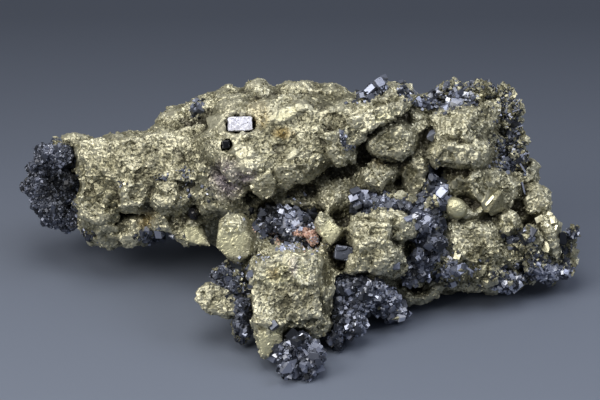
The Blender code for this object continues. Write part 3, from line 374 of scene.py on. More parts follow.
BLOCKS = [
    # the broad slopes of the arm
    (0.6, [(-66.6, 48.0), (-54.0, 48.0), (-52.5, 42.0), (-54.6, 34.5), (-58.5, 37.5), (-66.0, 42.6)]),
    (0.6, [(-56.0, 48.6), (-41.0, 49.0), (-39.0, 40.0), (-44.0, 34.5), (-52.5, 34.5), (-56.0, 40.0)]),
    (0.6, [(-43.5, 49.5), (-29.0, 53.5), (-27.0, 42.0), (-32.0, 35.0), (-42.0, 36.5)]),
    (0.4, [(-34.5, 40.5), (-25.5, 40.5), (-25.5, 31.5), (-31.5, 30.0), (-35.1, 34.5)]),
    (0.0, [(-66.6, 41.4), (-58.5, 36.6), (-54.6, 33.0), (-60.0, 31.5), (-66.0, 31.5)]),
    (0.0, [(-66.6, 31.5), (-54.6, 31.5), (-54.0, 23.4), (-60.0, 22.5), (-66.0, 25.5)]),
    # the foot's thick trunk
    (1.6, [(-13.5, 11.4), (-4.5, 14.4), (5.4, 13.5), (6.6, -5.4), (-3.0, -5.4), (-13.5, -6.6), (-15.0, 3.0)]),
    # the ledge that ends the dome on its lower right
    (2.2, [(13.5, 54.6), (21.6, 56.4), (31.2, 60.9), (33.9, 60.3), (31.2, 55.5), (25.5, 53.7), (21.3, 51.6),
           (18.6, 49.5), (15.0, 50.1)]),
    (2.0, [(5.4, 49.5), (15.0, 52.5), (20.7, 51.6), (19.8, 48.3), (15.6, 45.3), (10.5, 45.0)]),
    (2.0, [(7.5, 46.2), (15.0, 46.2), (14.7, 42.6), (13.5, 39.9), (10.8, 40.5), (8.4, 42.6)]),
    # the dome's lower lip
    (1.5, [(-7.2, 40.5), (2.4, 41.4), (3.3, 39.0), (0.0, 35.1), (-4.5, 33.3), (-7.2, 34.2)]),
    (1.8, [(-14.4, 36.6), (-9.0, 38.4), (-6.6, 35.4), (-8.4, 31.2), (-11.4, 29.4), (-14.1, 32.4)]),
    (1.2, [(-20.4, 39.6), (-14.4, 40.8), (-14.4, 34.2), (-18.0, 30.0), (-21.3, 29.1), (-22.2, 34.2)]),
    # pale clean breaks on the dome
    (0.6, [(-10.2, 54.3), (-6.0, 58.2), (0.0, 59.1), (2.4, 57.3), (-1.2, 55.5), (-4.5, 53.4), (-7.2, 52.2)]),
    (0.8, [(-20.4, 46.2), (-15.6, 47.1), (-12.6, 44.4), (-15.0, 42.6), (-19.2, 42.0)]),
    (0.6, [(-5.1, 42.0), (-3.0, 45.0), (-0.6, 46.2), (-0.3, 43.8), (-2.4, 42.0)]),
    (0.8, [(-28.5, 54.9), (-23.4, 55.8), (-21.9, 51.6), (-24.6, 50.1), (-27.6, 51.9)]),
    (1.2, [(-29.4, 60.0), (-21.6, 61.5), (-21.9, 58.8), (-26.4, 57.3), (-30.0, 57.0)]),
    # lumps under the ledge
    (2.2, [(19.8, 47.7), (24.0, 51.3), (30.6, 52.8), (33.3, 50.1), (33.6, 45.0), (30.0, 42.0), (24.0, 42.6),
           (20.4, 45.0)]),
    (1.2, [(33.6, 56.4), (38.4, 56.1), (39.0, 51.9), (36.0, 49.5), (33.3, 51.6)]),
    (1.5, [(19.2, 40.2), (22.2, 42.0), (26.4, 40.2), (26.1, 36.0), (24.0, 33.3), (19.8, 34.8), (18.3, 37.5)]),
    (1.5, [(30.9, 39.6), (33.6, 42.9), (36.9, 42.0), (38.1, 39.0), (37.2, 34.5), (34.8, 30.0), (32.4, 31.8),
           (30.6, 36.0)]),
    # the right massif, from its top down
    (1.8, [(38.4, 55.2), (41.4, 57.0), (46.8, 57.6), (50.4, 56.4), (50.1, 52.5), (46.5, 48.6), (41.1, 49.8),
           (38.7, 52.2)]),
    (1.6, [(51.3, 57.0), (56.4, 60.0), (59.4, 57.6), (58.5, 52.2), (55.2, 47.4), (50.7, 46.8), (48.0, 49.2),
           (51.3, 52.5)]),
    (2.6, [(38.4, 44.4), (41.4, 47.1), (46.2, 47.1), (51.6, 46.2), (54.9, 44.4), (53.7, 41.1), (46.5, 40.8),
           (40.8, 40.8)]),
    (0.6, [(39.0, 41.7), (45.0, 42.9), (52.5, 42.6), (51.0, 39.6), (46.5, 39.0), (41.1, 39.9)]),
    (1.6, [(49.2, 36.3), (51.9, 39.3), (60.3, 39.3), (66.3, 33.3), (62.4, 26.7), (56.1, 26.1), (52.2, 30.9)]),
    (1.2, [(45.3, 36.0), (47.7, 37.2), (49.8, 35.4), (49.5, 31.2), (46.8, 30.9), (45.6, 33.0)]),
    (1.6, [(43.5, 30.3), (45.3, 31.2), (48.0, 30.0), (50.1, 27.3), (49.2, 24.9), (45.6, 24.9), (43.8, 27.6)]),
    (1.0, [(41.4, 27.9), (44.1, 29.1), (45.0, 25.2), (42.3, 24.6)]),
    (1.5, [(42.0, 20.4), (45.0, 23.4), (47.4, 23.7), (47.7, 21.6), (45.6, 18.9), (43.2, 18.0)]),
    (1.8, [(60.0, 25.2), (62.7, 27.0), (65.1, 26.4), (64.8, 21.6), (62.4, 19.2), (60.0, 19.8)]),
    (1.2, [(55.8, 26.4), (57.0, 30.6), (59.7, 33.0), (60.6, 32.1), (57.9, 29.1), (56.7, 26.1)]),
    (1.5, [(67.2, 30.0), (69.9, 33.0), (72.9, 33.0), (75.3, 29.1), (73.5, 26.1), (69.0, 26.1)]),
    (1.2, [(45.9, 12.9), (47.4, 15.6), (48.9, 13.2), (48.6, 11.1), (46.2, 11.7)]),
    (1.2, [(48.9, 13.5), (54.0, 17.4), (59.1, 15.0), (59.1, 11.4), (55.8, 6.3), (51.0, 8.1), (48.9, 10.5)]),
    (1.2, [(59.4, 52.8), (60.0, 54.3), (61.5, 54.3), (62.1, 52.2), (60.9, 51.3), (59.7, 51.3)]),
    (1.2, [(62.4, 43.5), (63.3, 45.0), (64.5, 44.1), (64.8, 42.0), (63.3, 41.4)]),
    (1.0, [(62.4, 6.6), (64.8, 9.6), (66.6, 7.8), (64.5, 4.2), (62.4, 4.2)]),
    (0.8, [(54.6, 9.6), (58.5, 11.4), (60.6, 9.0), (59.4, 5.4), (55.5, 4.2)]),
    # the foot's rhomb, cluster and tooth
    (1.5, [(4.8, 23.4), (6.0, 26.1), (12.9, 20.7), (9.3, 16.2), (5.1, 21.9)]),
    (1.2, [(-8.4, 11.4), (-5.1, 14.4), (-2.4, 15.0), (-3.0, 9.6), (-6.6, 7.5)]),
    (1.8, [(-2.7, 13.2), (4.2, 14.4), (5.7, 11.4), (5.4, 3.9), (0.0, 3.6), (-3.0, 7.2)]),
    (1.8, [(-3.9, 2.7), (0.3, 3.3), (6.0, 2.4), (6.3, -4.8), (0.0, -5.4), (-3.0, -1.8)]),
    (1.2, [(-12.6, 6.0), (-4.5, 4.8), (-3.6, 0.0), (-9.0, -2.4), (-13.5, 1.2)]),
    (1.0, [(-14.1, -3.6), (-8.4, -2.4), (-3.0, -4.8), (-2.7, -6.6), (-6.0, -8.4), (-13.5, -7.2)]),
    (1.0, [(-12.6, -9.0), (-4.5, -9.6), (-6.0, -12.6), (-9.6, -16.8), (-11.4, -16.8), (-12.3, -13.5)]),
    (1.0, [(-15.9, 9.0), (-12.6, 11.4), (-11.4, 7.5), (-12.9, 4.8), (-15.3, 6.0)]),
    (1.0, [(-31.8, 0.0), (-30.6, 3.6), (-27.9, 5.1), (-23.4, 3.6), (-18.6, 2.1), (-17.1, -0.9), (-18.6, -4.2),
           (-23.4, -4.8), (-28.5, -3.0)]),
    # the arm's lumps
    (1.6, [(-53.7, 33.0), (-51.6, 35.4), (-47.7, 35.7), (-45.3, 33.6), (-45.6, 30.0), (-48.3, 27.6),
           (-52.2, 27.9), (-53.7, 30.0)]),
    (1.6, [(-44.4, 33.0), (-42.6, 35.4), (-38.4, 36.0), (-36.0, 33.9), (-36.3, 30.3), (-39.0, 27.6),
           (-42.9, 27.9), (-44.7, 30.0)]),
    (1.2, [(-45.0, 23.4), (-43.2, 25.8), (-40.5, 24.9), (-38.4, 21.6), (-42.0, 20.1), (-44.4, 21.6)]),
    (1.5, [(-36.0, 20.4), (-33.0, 24.3), (-31.2, 24.6), (-29.1, 20.4), (-30.0, 18.0), (-34.2, 16.5),
           (-37.2, 18.0)]),
    (1.5, [(-61.2, 20.4), (-58.8, 22.8), (-54.3, 22.2), (-54.0, 16.2), (-57.0, 15.0), (-60.0, 16.8)]),
    (1.0, [(-60.3, 28.8), (-58.2, 32.1), (-54.6, 32.4), (-54.3, 27.9), (-58.5, 27.0)]),
    (1.0, [(-53.7, 19.2), (-48.9, 20.4), (-47.7, 18.0), (-50.1, 15.3), (-53.4, 15.3)]),
    # lumps in the valley
    (1.8, [(15.0, 22.2), (17.4, 24.3), (23.4, 23.7), (27.6, 22.8), (27.3, 19.2), (24.0, 16.8), (18.6, 18.0),
           (15.6, 19.2)]),
    (1.4, [(17.1, 17.4), (21.6, 18.6), (27.0, 17.7), (29.4, 13.5), (27.6, 9.6), (24.0, 6.9), (19.5, 8.4),
           (16.8, 12.6)]),
    (1.2, [(13.5, 11.4), (15.0, 14.1), (17.4, 12.6), (17.1, 9.6), (15.3, 7.8)]),
    (1.2, [(21.6, 13.2), (26.1, 14.4), (26.7, 11.4), (24.3, 8.4), (21.6, 9.3)]),
    (1.5, [(27.6, 21.0), (28.8, 23.7), (31.5, 24.3), (33.6, 22.2), (33.6, 19.2), (30.9, 17.4), (28.2, 18.3)]),
]

# Clean crystals as seen: how far each stands proud, then its corners as across, rise and how far
# behind the nearest corner.

CLEAN_CRYSTALS = [
    # the foot's wedge
    (2.0, [(-24.3, 24.0, 0.4), (-22.8, 25.4, 0.0), (-14.4, 18.0, 0.0), (-15.3, 13.2, 0.3), (-21.6, 12.6, 0.3),
           (-25.2, 15.9, 0.4), (-17.1, 26.3, 4.5), (-12.6, 21.9, 5.0), (-13.2, 15.3, 4.0), (-18.6, 10.8, 2.0)]),
    # the rhomb over the foot
    (1.4, [(5.1, 23.4, 0.6), (6.0, 26.1, 0.8), (12.9, 21.0, 0), (9.3, 16.2, 0), (6.6, 19.2, 0), (4.2, 21.0, 2.0),
     (13.2, 19.2, 2.0)]),
    # the arm's bright tip
    (1.6, [(-33.2, 24.0, 0.3), (-26.9, 16.2, 0.0), (-36.8, 18.4, 0.0), (-31.5, 16.8, 0.2), (-29.0, 21.3, 1.8)]),
    # the tooth at the foot's front
    (1.2, [(-12.6, -9.6, 0), (-6.0, -10.2, 0.6), (-5.1, -12.3, 1.2), (-9.6, -16.8, 1.0), (-11.4, -16.8, 0.6),
     (-12.3, -13.5, 0.4), (-9.6, -11.4, 0)]),
    # the bright narrow face of the right massif, and the step beside it
    (1.4, [(54.9, 26.4, 0.6), (56.4, 30.6, 0.4), (59.7, 33.3, 0.4), (60.6, 32.4, 0), (57.6, 28.8, 0),
     (56.4, 26.1, 0), (61.5, 28.5, 2.4)]),
    # the yellow face low on the right
    (1.2, [(46.2, 12.6, 0.5), (47.4, 15.6, 0.6), (48.9, 13.2, 0), (48.6, 11.1, 0), (46.8, 11.4, 0.2)]),
    # the flat lit face of the massif's middle block
    (1.6, [(38.7, 43.8, 0.8), (39.3, 46.8, 0.8), (42.3, 48.0, 0.6), (43.2, 45.0, 0), (41.4, 42.6, 0)]),
]

# Smooth round lumps as seen: across, rise, half width, half height, half depth and roll.

PEBBLES = [
    (46.8, 27.6, 3.6, 3.0, 2.6, -35),
    (42.8, 26.2, 2.0, 2.2, 1.6, 0),
]

BLOCK_DEPTH = 3.5
BLOCK_BEVEL = 0.16
PIT_WIDTH = 2.6

# The film pulled over hollows: its step, how often and how far it is pulled, and its deepest fill.

FILM_STEP = 0.8
FILM_PULLS = 60
FILM_ROUNDS = 8
FILM_DEEPEST = 7.0
FILM_CLEARANCE = 0.3
STEEPEST = 2.5

# The chips that the mass breaks into: their size, their height as a share of it, how much of that
# is left where the blocks as seen already shape it, how much where it is smooth, and the seed.

CHIPS = [
    (9.0, 0.24, 0.4, 0.8, 1),
    (4.2, 0.20, 0.7, 0.4, 2),
    (1.8, 0.27, 1.0, 0.3, 3),
    (0.9, 0.24, 1.0, 0.4, 4),
]

# Areas as seen: across, rise, half width, half height, roll

FILM_AREAS = [
    (-47, 42, 24, 11, 6),
    (-61, 32, 9, 12, 0),
    (-5, 4, 13, 13, 0),
    (-4, 50, 30, 12, 6),
    (-24, 0, 9, 6, 0),
    (27, 48, 9, 7, 0),
    (-48, 21, 15, 5, 0),
    (48, 53, 10, 6, 0),
    (47, 48.5, 9, 6, -20),
    (49, 44, 11, 6, 0),
    (50, 31, 9, 9, 0),
    (52, 17, 9, 8, 0),
    (21, 14, 8, 11, 0),
    (23, 57, 13, 5.5, 25),
]
# Crystals that the film leaves clear: the galena and the black one beside it.
FILM_GAPS = [
    (-17.8, 52.8, 4.0, 2.6, 0),
    (-21.8, 46.2, 1.3, 1.3, 0),
]
SMOOTH_AREAS = [
    (46.5, 27.5, 3.6, 3.4, -20),
    (-4, 56, 6.5, 2.6, 25),
    (-16.5, 44.5, 4.5, 2.6, -10),
    (-2.5, 44, 2.6, 2, 40),
    (-25, 53, 4, 3, 0),
    (57, 29, 5, 4, 40),
]
# Partly cleaner, less tarnished faces and partly painted light on faces that face the lamps: the foot's wedge and
# cluster, the arm's tip, the tooth, the rhomb, the pebble and the ledge's top.
PALE_AND_LIT_AREAS = [
    (-4, 56, 4, 1.4, 25),
    (-20.5, 18.5, 4.5, 5.5, 0),
    (-32.0, 19.5, 4.0, 3.0, -35),
    (-9.4, -12.6, 3.4, 4.4, -20),
    (-5.0, 8.0, 7.0, 3.0, 10),
    (9, 21, 3, 4, -30),
    (46.5, 27.5, 3.4, 3, -20),
    (25, 55, 5, 1.5, 25),
]
# Partly darker olive tarnish and partly painted shade: on the arm's concave underside, under the ledge and the
# massif's blocks, below the dome's lip, and on the foot's shaded faces.
DULL_AND_SHADED_AREAS = [
    (-60, 33, 8, 9, 0),
    (-64, 24, 4, 7, 0),
    (27, 45, 11, 7, 8),
    (33, 36, 5, 6, 0),
    (6, 36, 9, 5, -10),
    (56, 32, 9, 6, 40),
    (47, 41, 10, 2, 0),
    (-15.5, 23, 2.4, 3.6, -40),
    (7, 8, 2.4, 9, 0),
]
OCHRE_AREAS = [
    (-12.5, 56, 3, 4, 0),
    (-5, 50, 3, 1.6, 0),
    (23, 41, 2, 1.2, 0),
    (-46, 24, 3, 3, 0),
    (-8, 8, 2, 2, 0),
]
VIOLET_AREAS = [
    (-22, 36, 4.5, 5.5, 0),
    (-16, 37, 3, 2, 30),
    (-2, 10, 1.2, 3, 0),
]


def level_under(surface, outline):
    """The plane behind an outline: its depth at the outline's middle, and how it falls away."""
    middle = outline.mean(axis=0)
    rows, depths = [], []
    for across, rise in np.vstack((middle + (outline - middle) * 0.8, middle)):
        depth, _outward = depth_seen(surface, across, rise)
        if depth is not None:
            rows.append((1.0, across - middle[0], rise - middle[1]))
            depths.append(depth)
    rows, depths = np.array(rows), np.array(depths)
    near = np.abs(depths - np.median(depths)) < 6
    level, over, up = np.linalg.lstsq(rows[near], depths[near], rcond=None)[0]
    return middle, level, np.clip((over, up), -STEEPEST, STEEPEST)


def block(surface, proud, outline):
    """A flat-faced lump whose outline shows there, standing this far proud of the surface."""
    outline = np.array(outline)
    middle, level, slopes = level_under(surface, outline)
    points = []
    for share, depth in ((1 - BLOCK_BEVEL, -proud), (1.0, -proud * 0.3), (0.9, BLOCK_DEPTH)):
        for spot in (outline - middle) * share:
            points.append(seen_through(*(middle + spot), level + slopes @ spot + depth))
    return convex(points)


def clean_crystal(surface, proud, corners):
    """A crystal with clean flat faces that stands out of the surface."""
    corners = np.array(corners)
    middle, level, _slopes = level_under(surface, corners[:, :2])
    points = [seen_through(x, y, level - proud + behind) for x, y, behind in corners]
    for x, y, behind in corners:
        x, y = middle + (np.array((x, y)) - middle) * 0.92
        points.append(seen_through(x, y, level + BLOCK_DEPTH + behind))
    return convex(points)


def pebble(surface, across, rise, wide, high, deep, roll):
    """A smooth round lump half sunk in the surface."""
    bm = bmesh.new()
    bmesh.ops.create_icosphere(bm, subdivisions=3, radius=1)
    bm.verts.index_update()
    ball = np.array([v.co[:] for v in bm.verts])
    triangles = np.array([[v.index for v in face.verts] for face in bm.faces])
    bm.free()
    depth, _outward = depth_seen(surface, across, rise)
    turn = turned_to_viewer(roll, 0, 0)
    return (ball * (wide, high, deep)) @ turn.T + seen_through(across, rise, depth + deep * 0.1), triangles


def worn(corners, faces):
    """A clean crystal with finely chipped faces."""
    mesh = skinned(mesh_from("crystal", corners, faces), BRASSY_GRAIN * 0.8, 0)
    points = points_of(mesh)
    out = 0.06 * chips(points, 2.4, 5) + 0.11 * chips(points, 0.9, 6)
    return points + outward_of(mesh) * out[:, None], triangles_of(mesh)


def hollows(mesh, rounds):
    """How far each corner lies below the surface round it."""
    points, outward = points_of(mesh), outward_of(mesh)
    ends = np.empty(len(mesh.edges) * 2, np.int32)
    mesh.edges.foreach_get("vertices", ends)
    first, second = ends.reshape(-1, 2).T
    count = np.bincount(ends, minlength=len(points))
    even = points.copy()
    for _ in range(rounds):
        total = np.zeros_like(even)
        for axis in range(3):
            total[:, axis] = np.bincount(first, even[second, axis], len(points))
            total[:, axis] += np.bincount(second, even[first, axis], len(points))
        even = total / count[:, None]
    return ((even - points) * outward).sum(axis=1)


def filled(mesh):
    """The mesh with its narrow cracks and pits filled in."""
    for way in (1, -1):
        mesh = skinned(mesh, BRASSY_GRAIN * 1.5, 6)
        set_points(mesh, points_of(mesh) + outward_of(mesh) * way * PIT_WIDTH / 2)
    return mesh


def evened(field, known, rounds):
    """The field averaged with its neighbours over and over, where it is known."""
    weight = known.astype(float)
    total = np.where(known, field, 0.0)
    for _ in range(rounds):
        for axis in (0, 1):
            total = (np.roll(total, 1, axis) + 2 * total + np.roll(total, -1, axis)) / 4
            weight = (np.roll(weight, 1, axis) + 2 * weight + np.roll(weight, -1, axis)) / 4
    return total / np.maximum(weight, 1e-6)


def film(surface, others, area):
    """A body that bridges the mass's hollows inside an area as seen, like a film pulled over them."""
    x, y, width, height, _roll = area
    reach = max(width, height)
    across, rise = np.meshgrid(
        np.arange(x - reach, x + reach, FILM_STEP), np.arange(y - reach, y + reach, FILM_STEP)
    )
    depth = np.full(across.shape, np.nan)
    inside = in_ellipse(across, rise, area) < 1
    for spot in zip(*np.nonzero(inside)):
        found, _outward = depth_seen(surface, across[spot], rise[spot])
        other, _outward = depth_seen(others, across[spot], rise[spot])
        if found is not None and (other is None or other > found - FILM_CLEARANCE):
            depth[spot] = found
    known = ~np.isnan(depth)
    near = np.where(known, depth, 0.0)
    for _ in range(FILM_PULLS):
        near = np.minimum(near, evened(near, known, FILM_ROUNDS))
    share = np.clip((1 - in_ellipse(across, rise, area)) / 0.3, 0, 1)
    for clear in FILM_GAPS:
        share *= np.clip(4 * (in_ellipse(across, rise, clear) - 1), 0, 1)
    near = depth + (np.maximum(near, depth - FILM_DEEPEST) - depth) * share
    used = known & (depth - near > 0.1)
    cell = used[:-1, :-1] & used[1:, :-1] & used[:-1, 1:] & used[1:, 1:]
    if not cell.any():
        return []
    depth = np.where(known, depth, 0.0)
    near = np.where(known, near, 0.0)
    corners = np.vstack((
        seen_through(across.ravel(), rise.ravel(), near.ravel()),
        seen_through(across.ravel(), rise.ravel(), depth.ravel() + FILM_DEEPEST / 2),
    ))
    number = np.arange(across.size).reshape(across.shape)
    triangles = []

    def side(a, b, c, d):
        """Two triangles for every four corners."""
        triangles.append(np.column_stack((a, b, c)))
        triangles.append(np.column_stack((a, c, d)))

    low, left = np.nonzero(cell)
    a, b = number[low, left], number[low, left + 1]
    c, d = number[low + 1, left + 1], number[low + 1, left]
    behind = across.size
    side(a, b, c, d)
    side(d + behind, c + behind, b + behind, a + behind)
    padded = np.pad(cell, 1)
    for (down, over), (first, second) in (((-1, 0), (b, a)), ((0, 1), (c, b)), ((1, 0), (d, c)), ((0, -1), (a, d))):
        edge = ~padded[low + 1 + down, left + 1 + over]
        side(first[edge], second[edge], second[edge] + behind, first[edge] + behind)
    return [(corners, np.vstack(triangles))]


def solids_beside_mass():
    """The corners and triangles of every solid but the mass."""
    solids = [node.data for name, node in frame["nodes"].items() if name != "chalcopyrite_mass"]
    return joined([(points_of(s), triangles_of(s)) for s in solids])


def brassy_mesh():
    """The mass with its lumps broken up into blocks, chips and grains."""
    solids = solids_beside_mass()
    others = surface_of(mesh_from("others", *solids))
    soft = filled(frame["nodes"]["chalcopyrite_mass"].data)
    parts = [(points_of(soft), triangles_of(soft))]
    soft = surface_of(soft)
    for area in FILM_AREAS:
        parts += film(soft, others, area)
    surface = surface_of(mesh_from("everything", *joined(parts + [solids])))
    parts += [block(surface, proud, outline) for proud, outline in BLOCKS]
    mesh = skinned(mesh_from("blocks", *joined(parts)), BRASSY_GRAIN, 0)
    points, outward = points_of(mesh), outward_of(mesh)
    smooth = in_areas(points, SMOOTH_AREAS) * (facing_viewer(points, outward) > 0)
    front = np.clip(facing_viewer(points, outward) * 3 + 0.5, 0, 1)
    out = np.zeros(len(points))
    for spacing, height, in_front, kept, seed in CHIPS:
        share = 1 - (1 - in_front) * front
        out += height * chips(points, spacing, seed) * share * (1 - (1 - kept) * smooth)
    set_points(mesh, points + outward * out[:, None])
    mesh = thinned(mesh, BRASSY_FACES)
    points, outward = points_of(mesh), outward_of(mesh)
    smooth = in_areas(points, SMOOTH_AREAS) * (facing_viewer(points, outward) > 0)
    jitter = np.random.default_rng(3).normal(0, 0.05, len(points)) * (1 - 0.8 * smooth)
    points = points + outward * jitter[:, None]
    sunk = hollows(mesh, 24) / 0.7
    surface = surface_of(mesh)
    clean = [clean_crystal(surface, proud, corners) for proud, corners in CLEAN_CRYSTALS]
    clean += [pebble(surface, *measures) for measures in PEBBLES]
    clean = [worn(corners, faces) for corners, faces in clean]
    whole = mesh_from("mass", *joined([(points, triangles_of(mesh))] + clean))
    points = points_of(whole)
    rough = np.zeros(len(points))
    rough[: len(smooth)] = 1 - smooth
    # Painted shade: a dark tint where a corner lies below the surface round it, for the shade in hollows.
    painted_hollow_shade = np.zeros(len(points))
    painted_hollow_shade[: len(sunk)] = np.clip(sunk - 0.15, 0, 1)
    # Painted highlight: a pale tint where a corner stands above the surface round it, for glints on convex edges.
    edge = np.zeros(len(points))
    edge[: len(sunk)] = np.clip(-sunk - 0.15, 0, 1)
    front = facing_viewer(points, outward_of(whole)) > -0.3
    set_mark(whole, "rough", rough)
    set_mark(whole, "painted_hollow_shade", painted_hollow_shade)
    set_mark(whole, "edge", edge)
    set_mark(whole, "ochre", in_areas(points, OCHRE_AREAS, 0.8) * front)
    set_mark(whole, "violet", in_areas(points, VIOLET_AREAS, 0.8) * front)
    # dull: partly olive tarnish, partly painted shade
    set_mark(whole, "dull", in_areas(points, DULL_AND_SHADED_AREAS, 0.5) * front)
    # pale: partly cleaner faces, partly painted light on lit faces
    set_mark(whole, "pale", in_areas(points, PALE_AND_LIT_AREAS, 0.4) * front)
    stone, _gap, _inside = stones(points, 1.6, 7)
    set_mark(whole, "grain_tone", stone / STONE_KINDS)
    return whole


def brassy_finish():
    """Chalcopyrite: a massive copper iron sulphide, brass yellow and dulled to olive by tarnish."""
    made, tree, shader = new_material("tarnished_chalcopyrite")
    where = add(tree, "ShaderNodeTexCoord").outputs["Object"]
    grain = add(tree, "ShaderNodeAttribute", {"attribute_name": "grain_tone"})
    blotch = add(tree, "ShaderNodeTexNoise", {"Scale": grain_scale(7), "Detail": 6.0}, {"Vector": where})
    speck = add(
        tree, "ShaderNodeTexNoise", {"Scale": grain_scale(0.5), "Detail": 2.0, "Roughness": 0.7},
        {"Vector": where},
    )
    rough = add(
        tree, "ShaderNodeMath", {"operation": "MULTIPLY_ADD", 1: 0.8},
        {0: speck.outputs["Fac"], 2: blotch.outputs["Fac"]},
    )
    tone = add(
        tree, "ShaderNodeMath", {"operation": "MULTIPLY_ADD", 1: 0.25},
        {0: grain.outputs["Fac"], 2: rough.outputs[0]},
    )
    whole_tone = add(tree, "ShaderNodeMath", {"operation": "MULTIPLY", 1: 0.48}, {0: tone.outputs[0]})
    ramp = add(tree, "ShaderNodeValToRGB", links={"Fac": whole_tone.outputs[0]})
    set_ramp(ramp, [(0.36, "#5c5945"), (0.49, "#8e8b73"), (0.61, "#c6c3aa")])
    colour = ramp.outputs["Color"]
    # Painted shade: dark specks mixed into the colour, standing in for the shade in small pits.
    pits = add(tree, "ShaderNodeTexVoronoi", {"Scale": grain_scale(1.0)}, {"Vector": where})
    deep = add(
        tree, "ShaderNodeMapRange", {"From Min": 0.3, "From Max": 0.2, "To Max": 0.85},
        {"Value": pits.outputs["Distance"]},
    )
    mix = add(
        tree, "ShaderNodeMix", {"data_type": "RGBA", 7: linear("#2a2618")}, {0: deep.outputs[0], 6: colour}
    )
    colour = mix.outputs[2]
    for mark, tint, strength in (
        # dull: partly olive tarnish, partly painted shade
        ("dull", "#6b674b", 0.45),
        # pale: partly cleaner faces, partly painted light on lit faces
        ("pale", "#cfcca9", 0.75),
        ("ochre", "#8a733a", 0.6),
        ("violet", "#8f8296", 0.6),
        # edge: a painted highlight on convex edges
        ("edge", "#d8d5bc", 0.5),
        # painted shade in hollows
        ("painted_hollow_shade", "#1f1b12", 0.9),
    ):
        share = add(tree, "ShaderNodeAttribute", {"attribute_name": mark})
        less = add(tree, "ShaderNodeMath", {"operation": "MULTIPLY", 1: strength}, {0: share.outputs["Fac"]})
        mix = add(
            tree, "ShaderNodeMix", {"data_type": "RGBA", 7: linear(tint)}, {0: less.outputs[0], 6: colour}
        )
        colour = mix.outputs[2]
    coarse = add(tree, "ShaderNodeAttribute", {"attribute_name": "rough"})
    normal = add(tree, "ShaderNodeNewGeometry").outputs["Normal"]
    for size, lean in ((1.7, 0.22), (0.6, 0.6)):
        cells = add(tree, "ShaderNodeTexVoronoi", {"Scale": grain_scale(size)}, {"Vector": where})
        centred = add(
            tree, "ShaderNodeVectorMath", {"operation": "SUBTRACT", 1: (0.5, 0.5, 0.5)},
            {0: cells.outputs["Color"]},
        )
        share = add(
            tree, "ShaderNodeMath", {"operation": "MULTIPLY_ADD", 1: lean * 0.8, 2: lean * 0.2},
            {0: coarse.outputs["Fac"]},
        )
        leaning = add(
            tree, "ShaderNodeVectorMath", {"operation": "SCALE"},
            {0: centred.outputs[0], "Scale": share.outputs[0]},
        )
        both = add(tree, "ShaderNodeVectorMath", {"operation": "ADD"}, {0: normal, 1: leaning.outputs[0]})
        normal = add(
            tree, "ShaderNodeVectorMath", {"operation": "NORMALIZE"}, {0: both.outputs[0]}
        ).outputs[0]
    tree.links.new(normal, shader.inputs["Normal"])
    tree.links.new(colour, shader.inputs["Base Color"])
    shader.inputs["Metallic"].default_value = 0.6
    shader.inputs["Roughness"].default_value = 0.42
    return made


def shining_finish():
    """Chalcopyrite on a fresh crystal face: a pale brass yellow metal as bright as a mirror, coloured near white so
    that it also paints glints.
    """
    made, tree, shader = new_material("fresh_chalcopyrite_and_painted_glint")
    where = add(tree, "ShaderNodeTexCoord").outputs["Object"]
    bloom = add(tree, "ShaderNodeTexNoise", {"Scale": grain_scale(1.5), "Detail": 3.0}, {"Vector": where})
    ramp = add(tree, "ShaderNodeValToRGB", links={"Fac": bloom.outputs["Fac"]})
    # near-white colour: partly a fresh face's pale brass, partly painted glints
    set_ramp(ramp, [(0.35, "#b9b391"), (0.6, "#f1edd2")])
    tree.links.new(ramp.outputs["Color"], shader.inputs["Base Color"])
    shader.inputs["Metallic"].default_value = 0.6
    shader.inputs["Roughness"].default_value = 0.3
    return made


# The grey crystals


def grey_finish():
    """Dark grey sulphide, such as tetrahedrite: freshly grown, so each small face is a mirror."""
    made, tree, shader = new_material("grey_sulphide_crystal")
    shade = add(tree, "ShaderNodeAttribute", {"attribute_name": "shade"})
    ramp = add(tree, "ShaderNodeValToRGB", links={"Fac": shade.outputs["Fac"]})
    set_ramp(ramp, [(0.0, "#25272b"), (0.5, "#666b79"), (0.85, "#a3a9bd"), (1.0, "#d6dae6")])
    tree.links.new(ramp.outputs["Color"], shader.inputs["Base Color"])
    shader.inputs["Metallic"].default_value = 0.6
    shader.inputs["Roughness"].default_value = 0.4
    return made


def block_form(rng, trim=0.3):
    """A cube with its corners cut off."""
    points = []
    for corner in itertools.product((-1, 1), repeat=3):
        for axis in range(3):
            point = np.array(corner, float)
            point[axis] *= 1 - trim
            points.append(point + rng.uniform(-0.06, 0.06, 3))
    return points


def cube_form(rng):
    """A rough cube."""
    return [np.array(c) * 0.85 + rng.uniform(-0.15, 0.15, 3) for c in itertools.product((-1, 1), repeat=3)]


def wedge_form(rng):
    """A four-sided wedge with its corners cut off."""
    corners = np.array(((1, 1, 1), (1, -1, -1), (-1, 1, -1), (-1, -1, 1)), float)
    points = []
    for a, b in itertools.permutations(range(4), 2):
        points.append(corners[a] + (corners[b] - corners[a]) * rng.uniform(0.1, 0.25))
    return points


def plate_form(rng):
    """A thin six-sided plate."""
    points = []
    for k in range(6):
        turn = k * math.pi / 3
        reach = rng.uniform(0.9, 1.05)
        for end in (-0.22, 0.22):
            points.append(np.array((reach * math.cos(turn), reach * math.sin(turn), end)))
    return points


def grain_form(rng):
    """An angular grain."""
    points = rng.normal(size=(8, 3))
    return list(points / np.linalg.norm(points, axis=1, keepdims=True) * rng.uniform(0.8, 1.1, (8, 1)))


VARIANTS = 10
FORM_RNG = np.random.default_rng(5)
FORMS = {
    form.__name__: [convex(form(FORM_RNG)) for _ in range(VARIANTS)]
    for form in (block_form, cube_form, wedge_form, plate_form, grain_form)
}


